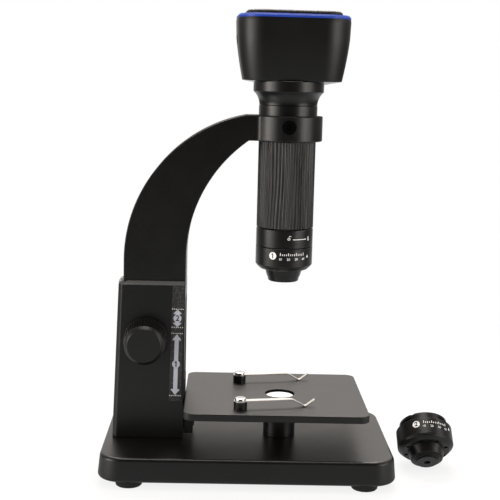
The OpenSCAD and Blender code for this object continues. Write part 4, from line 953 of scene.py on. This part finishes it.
def knob_shape(towards):
    """A knob with a gripped skirt, a plain bevel and a flat face."""
    around = KNOB_GRIPS * GRIP_STEPS
    bm = turned(KNOB_PROFILE, around)
    for v in bm.verts:
        if SKIRT_LOW < v.co.z < SKIRT_TOP and v.co.xy.length > SKIRT_LEAST:
            step = round(v.co.xy.angle_signed(Vector((1, 0))) / (2 * pi) * around) % GRIP_STEPS
            if step in (0, 1):
                v.co.xy *= 1 - GRIP_DEEP / v.co.xy.length
    back = turned([(KNOB_BORE, 0), (KNOB_BORE, KNOB_BORE_END), (0, KNOB_BORE_END)], around)
    bm = clean(joined([bm, back]))
    return placed(bm, along_y(KNOB_X, KNOB_FOOT * towards, KNOB_Z, towards))


for towards, side in ((-1, "near"), (1, "far")):
    knob = knob_shape(towards)
    piece(knob, side + "_knob", "focus_drive", KNOB_PLASTIC, ["knob_" + side], 26)


# Tube, neck and head


def barrel_shape():
    """The smooth barrel in the ring, and the thin tube below it."""
    return on_axis(
        [(TUBE_IN, TUBE_LOW), (TUBE_R, TUBE_LOW), (TUBE_R, BARREL_LOW), (BARREL_R, BARREL_LOW),
         (BARREL_R, BARREL_TOP - CORNER), (BARREL_R - CORNER, BARREL_TOP), (TUBE_R, BARREL_TOP),
         (TUBE_R, TUBE_TOP), (TUBE_IN, TUBE_TOP)]
    )


def neck_shape():
    """A hollow flare from the barrel out to the head."""
    steps = 16
    flare = []
    for i in range(steps + 1):
        z = (FLARE_TOP - NECK_LOW) * i / steps
        flare.append((FLARE_AT - sqrt(FLARE_R**2 - z**2), NECK_LOW + z))
    flare[0] = (flare[0][0] - CORNER, flare[0][1])
    flare.insert(1, (flare[0][0] + CORNER, flare[0][1] + CORNER))
    rim = [
        (NECK_R - 0.35, FLARE_TOP - 0.12), (NECK_R - 0.1, FLARE_TOP), (NECK_R, FLARE_TOP + 0.3),
        (NECK_R, NECK_PLUG - 0.3), (NECK_R - 0.3, NECK_PLUG), (NECK_BORE, NECK_PLUG),
    ]
    return on_axis([(NECK_BORE, NECK_LOW)] + flare[:-1] + rim)


def sleeve_shape():
    """Ribs along the grip that wander and vary like a drawn grain."""
    around, up = 360, 26
    bm = bmesh.new()
    bmesh.ops.create_circle(
        bm, cap_ends=False, segments=around, radius=SLEEVE_R, matrix=moved(0, 0, SLEEVE_LOW)
    )
    edges = list(bm.edges)
    for _ in range(up):
        made = bmesh.ops.extrude_edge_only(bm, edges=edges)["geom"]
        edges = edges_in(made)
        bmesh.ops.translate(bm, vec=(0, 0, (SLEEVE_TOP - SLEEVE_LOW) / up), verts=corners_in(made))
    for v in bm.verts:
        turn = v.co.xy.angle_signed(Vector((1, 0)))
        drift = noise.noise(Vector((v.co.x * 0.12, v.co.y * 0.12, v.co.z * 0.018)))
        groove = 0.5 + 0.5 * cos(SLEEVE_RIBS * turn + 5.0 * drift)
        swell = 0.75 + 0.5 * noise.noise(Vector((v.co.x * 0.4, v.co.y * 0.4, v.co.z * 0.03)))
        v.co.xy *= 1 - RIB_DEPTH * groove**1.6 * swell / SLEEVE_R
    for z in (SLEEVE_LOW, SLEEVE_TOP):
        rim = [e for e in bm.edges if e.is_boundary and all(abs(v.co.z - z) < 0.01 for v in e.verts)]
        for v in corners_in(bmesh.ops.extrude_edge_only(bm, edges=rim)["geom"]):
            v.co.xy = v.co.xy.normalized() * (TUBE_R + 0.1)
    inner = [e for e in bm.edges if e.is_boundary]
    bmesh.ops.bridge_loops(bm, edges=inner)
    return placed(clean(bm), ON_AXIS)


def mount_shape():
    """The lens mount: a ring round the skirt of the lens, with a rounded shoulder."""
    low, top, skirt, tube = MOUNT_LOW, MOUNT_TOP, SKIRT_R + 0.3, TUBE_R + SEAM
    return on_axis(
        [(skirt, low), (MOUNT_R - 0.2, low), (MOUNT_R, low + 0.2), (MOUNT_R, top - 1.1),
         (MOUNT_R - 0.12, top - 0.6), (MOUNT_R - 0.5, top - 0.2), (MOUNT_R - 0.9, top), (tube, top),
         (tube, top - 4.1), (skirt, top - 4.3)]
    )


def head_shape():
    """The shell: sides drawn in downwards, a shallow belly round the neck, a hollow for the works."""
    half_x, half_y, tall = HEAD_W / 2 - HEAD_R, HEAD_D / 2 - HEAD_R, HEAD_TOP - HEAD_EDGE
    bm = tablet(HEAD_X, HEAD_W, HEAD_D, HEAD_EDGE, HEAD_TOP, HEAD_R, 16)
    for h in (3.0, 6.0, 9.5, 13.0, 17.0, 21.0, 25.5, tall - SHOULDER_H, tall - 1.9, tall - 0.9):
        sliced(bm, (0, 0, HEAD_EDGE + h), (0, 0, 1))
    for v in bm.verts:
        down = max(0.0, (HEAD_LOW + TUCK_H - v.co.z) / TUCK_H)
        up = max(0.0, (v.co.z - HEAD_TOP + SHOULDER_H) / SHOULDER_H)
        spread([v], half_x, half_y, -HEAD_TUCK * down**1.5 - SHOULDER_IN * up**2, HEAD_X)
    under = min(bm.faces, key=lambda f: f.calc_center_median().z)
    bmesh.ops.inset_region(bm, faces=[under], thickness=BELLY_IN, use_even_offset=True)
    bmesh.ops.translate(bm, vec=(0, 0, BELLY_LOW - HEAD_EDGE), verts=under.verts)
    soften(bm, 0.5, 3, 50, lambda c: c.z < HEAD_EDGE + 0.1)
    top = max(bm.faces, key=lambda f: f.calc_center_median().z)
    wall = HEAD_TUCK + HEAD_WALL - SHOULDER_IN
    bmesh.ops.inset_region(bm, faces=[top], thickness=wall, use_even_offset=True)
    rise(bm, [top], (0, 0, HEAD_EDGE + HEAD_FLOOR - HEAD_TOP))
    socket = block((PORT_H, PORT_W, 14), (0, 0, 0), PORT_R, 6)
    across = moved(HEAD_X - HEAD_W / 2 + 2, 0, PORT_Z) @ rotated(90, "Y")
    seat = placed(rod(NECK_R + HAIR, BELLY_LOW - 2, NECK_PLUG + HAIR, 128), ON_AXIS)
    return worked(placed(bm, HEAD_TURNED), [placed(socket, across), seat])


def trim_shape():
    """The bevelled ring between the shell and the cover."""
    bm = tablet(HEAD_X, TRIM_W, TRIM_D, TRIM_LOW, TRIM_TOP, TRIM_R, 16)
    soften(bm, TRIM_EDGE, 1, 60, lambda c: c.z > TRIM_TOP - 0.1)
    window = block((COVER_W + 0.2, COVER_D + 0.2, 9), (HEAD_X, 0, TRIM_TOP), COVER_R + 0.1, 12)
    return placed(worked(bm, [window]), HEAD_TURNED)


def key_at(spot, z=0.0):
    return moved(HEAD_X + spot * BUTTON_GAP, 0, z)


def cover_shape():
    """The round-edged cover with a hole for each key."""
    bm = tablet(HEAD_X, COVER_W, COVER_D, COVER_LOW, COVER_TOP, COVER_R, 14)
    soften(bm, COVER_EDGE, 5, 60, lambda c: c.z > COVER_TOP - 0.1)
    below, above = COVER_LOW - 1, COVER_TOP + 1
    bm = worked(bm, [placed(rod(BUTTON_R + 0.1, below, above), key_at(i)) for i in KEYS.values()])

    def at_button(c):
        off = min(Vector((c.x - HEAD_X - i * BUTTON_GAP, c.y)).length for i in KEYS.values())
        return c.z > COVER_TOP - 0.1 and off < BUTTON_R + 0.3

    return placed(soften(bm, RIM_EDGE, 2, 60, at_button), HEAD_TURNED)


def button_shape(spot):
    """A key with a dished top, standing flush with the cover."""
    foot, flange, dish_r = BUTTON_FOOT, BUTTON_R + 1, BUTTON_R - BUTTON_RIM
    dish = [(dish_r - dish_r * k / 6, COVER_TOP - BUTTON_DISH * sin(k / 6 * pi / 2)) for k in range(7)]
    side = [
        (0, foot), (flange, foot), (flange, foot + 1), (BUTTON_R, foot + 1), (BUTTON_R, COVER_TOP - 0.25),
        (BUTTON_R - 0.25, COVER_TOP),
    ]
    return placed(turned(side + dish, 64), HEAD_TURNED @ key_at(spot))


piece(barrel_shape(), "tube_barrel", "scope", TUBE_BLACK, ["barrel"])
piece(neck_shape(), "tube_neck", "scope", TUBE_BLACK, ["neck"])
piece(sleeve_shape(), "focus_grip", "sleeve", GRIP, ["focus_sleeve"], 60)
piece(mount_shape(), "lens_mount", "scope", TUBE_BLACK, ["mount_ring"])
head = piece(head_shape(), "camera_head", "scope", HEAD_PLASTIC, ["head_shell"])
also(head, HEAD_SMOOTH, lambda out: out.z < -0.9)
piece(trim_shape(), "blue_trim", "scope", TRIM_BLUE, ["trim_ring"])
piece(cover_shape(), "head_cover", "scope", COVER_GLOSS, ["top_cover"])
for key, spot in KEYS.items():
    piece(button_shape(spot), key + "_key_cap", key + "_key", COVER_GLOSS, [key + "_button"])


# Lenses


def lens_shape(nose):
    """A lens body with its bayonet skirt above and its nose below."""
    profile = nose + [
        (11.72, -14.15), (11.75, -13.7), (12.0, -13.65), (14.8, -13.55), (15.3, -13.2), (17.0, -11.55),
        (17.15, -11.1), (LENS_R - 0.15, -LENS_H), (LENS_R, -LENS_H + 0.35), (LENS_R, LENS_TOP - 0.25),
        (LENS_R - 0.25, LENS_TOP), (SKIRT_R, LENS_TOP), (SKIRT_R, SKIRT_H - 0.3), (SKIRT_R - 0.3, SKIRT_H),
        (CUP_R, SKIRT_H), (CUP_R, CUP_FLOOR), (CELL_R, CUP_FLOOR), (CELL_R, CELL_TOP), (GLASS_R, CELL_TOP),
        (GLASS_R, GLASS_SEAT), (EYE_R, GLASS_SEAT),
    ]
    tools = []
    for i in range(LAMP_HOLES):
        at = rotated((i + 0.5) * 360 / LAMP_HOLES) @ moved(LAMP_HOLE_AT)
        tools.append(placed(rod(LAMP_HOLE_R, -LENS_H - 6, -LENS_H + 1.5, 20), at))
    wide = degrees(GROOVE_HALF / SKIRT_R) + 0.8
    for i in range(GROOVES):
        start = GROOVE_FROM + 360 / GROOVES * i
        end = start + TWIST
        for first, last, low, high in (
            (start - wide, end + wide, GROOVE_Z - GROOVE_HALF, GROOVE_Z + GROOVE_HALF),
            (end - wide, end + wide, GROOVE_Z, SKIRT_H + 1),
        ):
            steps = max(3, int((last - first) / 4))
            outer = arc((0, 0), SKIRT_R + 2, first, last, steps)
            inner = arc((0, 0), CUP_R + GROOVE_WALL, last, first, steps)
            tools.append(drawn(outer + inner, low, high))
    return worked(turned(profile, 120, True), tools)


for at, body, nose, spin, stands_for in (
    (LENS_AT, "fitted_lens", FLAT_NOSE, 0, "lens1_body"),
    (SPARE_AT, "spare_lens", STEPPED_NOSE, 45, "lens2_body"),
):
    shape = placed(lens_shape(nose), at @ rotated(spin))
    piece(shape, body + "_body", body, TUBE_BLACK, [stands_for])


# Prints


def flat(outline):
    bm = bmesh.new()
    bm.faces.new([bm.verts.new((x, y, 0)) for x, y in outline])
    return bm


def one(size):
    """A bold figure one as a flat shape round the origin."""
    outline = (
        (-0.06, -0.36), (0.08, -0.36), (0.08, 0.36), (-0.04, 0.36), (-0.2, 0.24), (-0.2, 0.12),
        (-0.06, 0.2),
    )
    return flat([(size * x, size * y) for x, y in outline])


def letters(text, size, bold=0.0):
    """A number as a flat shape round the origin."""
    curve = bpy.data.curves.new("letters", "FONT")
    curve.body = text
    curve.size = size
    curve.offset = bold
    curve.align_x = "CENTER"
    curve.align_y = "CENTER"
    obj = bpy.data.objects.new("letters", curve)
    bpy.context.scene.collection.objects.link(obj)
    bm = bmesh.new()
    bm.from_mesh(obj.evaluated_get(bpy.context.evaluated_depsgraph_get()).to_mesh())
    bpy.data.objects.remove(obj)
    bpy.data.curves.remove(curve)
    bmesh.ops.remove_doubles(bm, verts=bm.verts, dist=0.0005)
    return bm


def bar(x, y, wide, tall):
    left, right, low, high = x - wide / 2, x + wide / 2, y - tall / 2, y + tall / 2
    return flat([(left, low), (right, low), (right, high), (left, high)])


def disc(x, y, radius):
    bm = bmesh.new()
    bmesh.ops.create_circle(bm, cap_ends=True, segments=32, radius=radius, matrix=moved(x, y))
    return bm


def hoop(x, y, radius, line, first=0.0, last=360.0):
    """A ring or part of one, as a flat line."""
    steps = max(6, int(abs(last - first) / 12))
    ends = [first + (last - first) * k / steps for k in range(steps + 1)]
    outer, inner = radius + line / 2, radius - line / 2
    return joined(
        [flat(arc((x, y), outer, a, b, 2) + arc((x, y), inner, b, a, 2)) for a, b in zip(ends, ends[1:])]
    )


def double_arrow(low, high, shaft, head_w, head_h):
    """An upright arrow with a barbed head at each end."""
    side, wing, barb = shaft / 2, head_w / 2, 0.35
    foot, top = low + head_h, high - head_h
    right = [
        (wing, foot), (wing * 0.78, foot + barb), (side, foot + barb * 0.2), (side, top - barb * 0.2),
        (wing * 0.78, top - barb), (wing, top),
    ]
    left = [(-x, y) for x, y in reversed(right)]
    return flat([(0, low)] + right + [(0, high)] + left)


def inked(shapes, thick):
    """Flat shapes as one film of ink."""
    bm = joined(shapes)
    bmesh.ops.remove_doubles(bm, verts=bm.verts, dist=0.0005)
    bmesh.ops.recalc_face_normals(bm, faces=bm.faces)
    down = [f for f in bm.faces if f.normal.z < 0]
    bmesh.ops.reverse_faces(bm, faces=down)
    rise(bm, bm.faces[:], (0, 0, thick))
    bmesh.ops.recalc_face_normals(bm, faces=bm.faces)
    return bm


def wrapped(bm, radius, angle, height):
    """Bends a flat print round an upright cylinder."""
    first, last = min(v.co.x for v in bm.verts), max(v.co.x for v in bm.verts)
    cuts = int((last - first) / 0.6)
    for k in range(1, cuts):
        sliced(bm, (first + (last - first) * k / cuts, 0, 0), (1, 0, 0))
    for v in bm.verts:
        a = radians(angle) + v.co.x / radius
        r = radius + v.co.z
        v.co = (r * sin(a), -r * cos(a), height + v.co.y)
    return bm


# The scale label, measured from its top right corner, and its prints
INK = 0.03
LABEL_TOP, LABEL_RIGHT, LABEL_W, LABEL_H, LABEL_T, LABEL_TILT = 117.5, -40.8, 7.4, 73.6, 0.25, 1.1
LABEL_MID, TWO_Y, ONE_Y, NUMBER_R = -3.75, -20.6, -49.8, 2.5
DOT_ROWS, DOTS, DOT_FROM, DOT_GAP, DOT_W = (14.7, 26.3, 30.1, 70.2), 6, -6.95, 1.3, 0.5
ON_LABEL = moved(LABEL_RIGHT, -COL_HALF - HAIR, LABEL_TOP) @ rotated(LABEL_TILT, "Y") @ rotated(90, "X")


def label_shape():
    """The film that the scale is printed on."""
    bm = slab((-LABEL_W, -LABEL_H, 0), (0, 0, LABEL_T))
    soften(bm, 0.06, 1)
    return placed(bm, ON_LABEL)


def on_label(shapes, lift):
    return placed(inked(shapes, INK), ON_LABEL @ moved(0, 0, lift))


scale_dots = [
    bar(DOT_FROM + DOT_GAP * k, -depth, DOT_W, DOT_W) for depth in DOT_ROWS for k in range(DOTS)
]
scale_arrows = [
    placed(double_arrow(-26.0, -15.1, 2.6, 5.2, 2.4), moved(LABEL_MID)),
    placed(double_arrow(-69.9, -30.6, 2.6, 5.6, 3.7), moved(LABEL_MID)),
]
scale_discs = [disc(LABEL_MID, y, NUMBER_R) for y in (TWO_Y, ONE_Y)]
scale_numbers = [
    placed(letters("2", 5.0, 0.1), moved(LABEL_MID, TWO_Y)),
    placed(one(5.0), moved(LABEL_MID, ONE_Y)),
]
piece(label_shape(), "scale_film", "stand", LABEL_FILM, ["scale_label"])
piece(on_label(scale_dots, LABEL_T), "scale_dots", "stand", PRINT_WHITE)
piece(on_label(scale_arrows, LABEL_T), "scale_arrows", "stand", PRINT_GREY)
piece(on_label(scale_discs, LABEL_T + INK), "scale_discs", "stand", PRINT_GREY)
piece(on_label(scale_numbers, LABEL_T + 2 * INK), "scale_numbers", "stand", PRINT_DARK)


def padlock(shut):
    """A small lock sign: a round body under a bow."""
    lift, lean = (0.0, 0.0) if shut else (0.25, 0.75)
    return [hoop(0, 0, 0.72, 0.26), disc(0, 0, 0.22), hoop(lean, 1.0 + lift, 0.55, 0.24, -10, 190)]


def round_tube(shapes, radius, angle, height):
    """A print bent round the tube."""
    return placed(wrapped(inked(shapes, INK), radius, angle, height), ON_AXIS)


mount_marks = joined(
    [
        round_tube(padlock(False), MOUNT_R, 6.2, 148.6),
        round_tube([bar(0, 0, 9.8, 0.4)], MOUNT_R, 30.1, 148.2),
        round_tube(padlock(True), MOUNT_R, 52.5, 148.1),
    ]
)
piece(mount_marks, "mount_lock_marks", "scope", PRINT_WHITE)
barrel_dot = round_tube([disc(0, 0, 0.4)], BARREL_R, 25.6, 226.9)
piece(barrel_dot, "barrel_dot", "scope", PRINT_DARK)


# Marks on the lenses: the angle round the lens and the height of each
NUMBER_AT, TICKS_AT, FIGURES_AT, POINTER_AT = (-25.7, -3.6), (14.4, -3.2), (14.4, -3.8), (50.7, -4.0)
TICKS, TICK_FROM, TICK_GAP, TICK_W, LONG_TICK, SHORT_TICK = 13, -7.6, 1.267, 0.4, 1.8, 1.1
FIGURE_GAP, FIGURE_Y, FIGURE_SIZE = 5.07, -1.75, 2.1


def lens_marks(number):
    """White ink on a lens: its number's disc, a scale in two rows and a pointer."""
    ticks = []
    for k in range(TICKS):
        tall = LONG_TICK if k % 4 == 0 else SHORT_TICK
        ticks.append(bar(TICK_FROM + TICK_GAP * k, 0.75 - (LONG_TICK - tall) / 2, TICK_W, tall))
    figures = [
        placed(letters(text, FIGURE_SIZE), moved(TICK_FROM + FIGURE_GAP * k, FIGURE_Y))
        for k, text in enumerate(("10", "20", "30", "40"))
    ]
    pointer = flat([(-0.85, -0.9), (0.85, -0.9), (0, 1.1)])
    ink = [
        wrapped(inked([disc(0, 0, 2.35)], INK), LENS_R, *NUMBER_AT),
        wrapped(inked(ticks, INK), LENS_R, *TICKS_AT),
        wrapped(inked(figures, INK), LENS_R, *FIGURES_AT),
        wrapped(inked([pointer], INK), LENS_R, *POINTER_AT),
    ]
    figure = inked([one(4.4) if number == "1" else letters(number, 4.2, 0.1)], INK)
    bmesh.ops.translate(figure, vec=(0, 0, INK), verts=figure.verts)
    return joined(ink), wrapped(figure, LENS_R, *NUMBER_AT)


for number, at, body in (("1", LENS_AT, "fitted_lens"), ("2", SPARE_AT, "spare_lens")):
    white, dark = lens_marks(number)
    piece(placed(white, at), body + "_marks", body, PRINT_WHITE)
    piece(placed(dark, at), body + "_number", body, PRINT_DARK)

SIGN_LINE = 0.32
rays = [placed(bar(0, 1.55, 0.3, 0.6), rotated(45 * k)) for k in range(8)]
key_signs = {
    "power": [hoop(0, 0, 1.3, SIGN_LINE, 125, 415), bar(0, 1.15, SIGN_LINE, 1.5)],
    "photo": [hoop(0, 0, 1.3, SIGN_LINE), disc(0, 0, 0.6)],
    "light": [hoop(0, 0, 0.75, 0.3)] + rays,
}
for key, sign in key_signs.items():
    print_at = HEAD_TURNED @ key_at(KEYS[key], COVER_TOP - BUTTON_DISH + 0.01)
    piece(placed(inked(sign, INK), print_at), key + "_key_sign", key + "_key", PRINT_WHITE)


# Inner parts keep their CAD shapes and get their finishes

INNER_FINISHES = (
    (STEEL, ("column_screws", "foot_screws", "guide_rods", "rack", "bracket_screws", "stage_screws",
             "pinion_shaft", "knob_screws", "neck_screws", "board_screws", "usb_port")),
    (ZINC, ("base_bottom_plate",)),
    (BRASS, ("shaft_bushes",)),
    (TUBE_BLACK, ("ring_liner", "stage_carriage", "lamp_cap", "focus_carrier", "arm_screws")),
    (CIRCUIT, ("main_board", "button_board", "sensor_board", "lamp_board")),
    # Lens lamp boards: painted shade for the lamp holes.
    (SHADED_LAMP_BOARD, ("lens1_light_board", "lens2_light_board")),
    (CELL_FOIL, ("battery",)),
    (GLASS, ("carrier_glass", "lens1_glass", "lens2_glass")),
    (GOLD, ("lens1_contact_ring", "lens2_contact_ring")),
)
for surface, names in INNER_FINISHES:
    for name in names:
        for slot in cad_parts[name].material_slots:
            slot.material = surface


# Floor, light and camera, in metres from the frame's middle

WARM = (1.0, 0.945, 0.895)
SMOOTH = "SMOOTHSTEP"
LIGHT_Z, LIGHT_AWAY, STRIP_W = 0.17, 1.1, 0.23
GLINTS = ((-64, 1.9), (58, 0.8))


def floor_glow(tree, place, away):
    """How bright the floor shows in glossy surfaces: pale before and behind, with two glints beside."""
    spot = node(tree, "ShaderNodeSeparateXYZ", {0: place}).outputs
    sideways = sums(tree, "ABSOLUTE", spot["X"], 0.0)
    aside = ramp(tree, sideways, 0.35, 0.9, 1.0, 0.0, SMOOTH)
    near = ramp(tree, spot["Y"], -0.9, -0.35, 0.0, 0.5, SMOOTH)
    far = ramp(tree, spot["Y"], 0.0, 0.4, 0.0, 0.5, SMOOTH)
    glow = sums(tree, "MULTIPLY", sums(tree, "ADD", near, far), aside)
    close = ramp(tree, away, 0.25, 0.5, 1.0, 0.0)
    beside = sums(tree, "MULTIPLY", close, ramp(tree, sideways, 0.18, 0.26))
    course = node(tree, "ShaderNodeVectorMath", {0: place}, operation="NORMALIZE").outputs["Vector"]
    for angle, gain in GLINTS:
        lamp = (sin(radians(angle)), -cos(radians(angle)), 0)
        along = node(tree, "ShaderNodeVectorMath", {0: course, 1: lamp}, operation="DOT_PRODUCT")
        glint = ramp(tree, along.outputs["Value"], 0.9, 1.0, 0.0, gain, SMOOTH)
        glow = sums(tree, "ADD", glow, sums(tree, "MULTIPLY", glint, beside))
    return glow


def floor():
    """A pale floor that keeps the shadow and runs out to white."""
    bm = bmesh.new()
    bmesh.ops.create_grid(bm, x_segments=1, y_segments=1, size=4.0)
    obj = loose(bm, "floor")
    mat, tree, shader, place = bare_finish("pale floor")
    shader.inputs["Base Color"].default_value = rgb(0.86)
    shader.inputs["Roughness"].default_value = 0.8
    shader.inputs["Specular IOR Level"].default_value = 0.0
    away = node(tree, "ShaderNodeVectorMath", {0: place}, operation="LENGTH").outputs["Value"]
    white = ramp(tree, away, 0.1, 0.5, 0.84, 1.0)
    path = node(tree, "ShaderNodeLightPath").outputs
    seen = sums(tree, "MAXIMUM", path["Is Camera Ray"], path["Is Transmission Ray"])
    level = levelled(tree, path["Is Glossy Ray"], 1.0, floor_glow(tree, place, away))
    glow = node(tree, "ShaderNodeEmission", {"Color": rgb(1.0), "Strength": level})
    share = sums(tree, "MAXIMUM", sums(tree, "MULTIPLY", white, seen), path["Is Glossy Ray"])
    mix = node(tree, "ShaderNodeMixShader", {"Fac": share, 1: shader.outputs[0], 2: glow.outputs[0]})
    out = next(n for n in tree.nodes if n.type == "OUTPUT_MATERIAL")
    tree.links.new(mix.outputs[0], out.inputs["Surface"])
    obj.data.materials.append(mat)


def studio():
    """White behind the object, dim before it, and even soft light from all round."""
    world = bpy.data.worlds.new("studio")
    bpy.context.scene.world = world
    world.use_nodes = True
    tree = world.node_tree
    tree.nodes.clear()
    path = node(tree, "ShaderNodeLightPath").outputs
    course = node(tree, "ShaderNodeTexCoord").outputs["Generated"]
    towards = node(tree, "ShaderNodeSeparateXYZ", {0: course}).outputs
    behind = ramp(tree, towards["Y"], -0.35, 0.45, 0.0, 0.92, SMOOTH)
    sideways = sums(tree, "ABSOLUTE", towards["X"], 0.0)
    behind = sums(tree, "MULTIPLY", behind, ramp(tree, sideways, 0.35, 0.8, 1.0, 0.32, SMOOTH))
    seen = sums(tree, "MAXIMUM", path["Is Camera Ray"], path["Is Transmission Ray"])
    level = levelled(tree, seen, levelled(tree, path["Is Glossy Ray"], 0.6, behind), 1.0)
    tint = tinted(tree, seen, rgb(*WARM), rgb(1.0))
    glow = node(tree, "ShaderNodeBackground", {"Color": tint, "Strength": level})
    node(tree, "ShaderNodeOutputWorld", {"Surface": glow.outputs[0]})


def softbox(name, at, aim, wide, tall, power):
    """A flat lamp that the camera does not see."""
    light = bpy.data.lights.new(name, "AREA")
    light.shape = "RECTANGLE"
    light.size = wide
    light.size_y = tall
    light.energy = power
    light.color = WARM
    obj = bpy.data.objects.new(name, light)
    bpy.context.scene.collection.objects.link(obj)
    obj.location = at
    obj.rotation_euler = (Vector(aim) - Vector(at)).to_track_quat("-Z", "Y").to_euler()
    obj.visible_camera = False


def strip(name, angle, low, high, power):
    """An upright strip light; its ends are given by their slope as the tube sees them, in degrees."""
    foot, top = (LIGHT_AWAY * tan(radians(a)) for a in (low, high))
    middle = LIGHT_Z + (foot + top) / 2
    at = (LIGHT_AWAY * sin(radians(angle)), -LIGHT_AWAY * cos(radians(angle)), middle)
    softbox(name, at, (0, 0, middle), STRIP_W, top - foot, power)


def camera():
    """The view that the photograph was taken from."""
    lens = bpy.data.cameras.new("camera")
    lens.lens = 78.4588
    lens.sensor_width = 36.0
    lens.clip_start = 0.01
    lens.clip_end = 20.0
    obj = bpy.data.objects.new("camera", lens)
    bpy.context.scene.collection.objects.link(obj)
    obj.location = (-0.03724282, -0.67934429, 0.2443)
    obj.rotation_euler = (radians(81.1626), radians(-1.4062), radians(-1.0963))
    bpy.context.scene.camera = obj


floor()
studio()
for name, angle, low, high, power in (
    ("left far strip", -74, -8, 18, 3.3),
    ("left middle strip", -62, -8, 18, 2.1),
    ("left near strip", -50, -8, 18, 0.9),
    ("right near strip", 50, -8, 18, 2.0),
    ("right middle strip", 62, -8, 18, 1.35),
    ("right far strip", 74, -8, 18, 0.8),
    ("right high strip", 86, 18, 45, 2.0),
):
    strip(name, angle, low, high, power)
softbox("back softbox", (0.0, 0.75, 1.15), (0.0, 0.0, LIGHT_Z), 0.8, 0.6, 16.0)
softbox("top softbox", (-0.05, -0.05, 1.3), (-0.05, 0.0, LIGHT_Z), 0.7, 0.5, 4.6)
camera()
bpy.context.scene.view_settings.view_transform = "Standard"
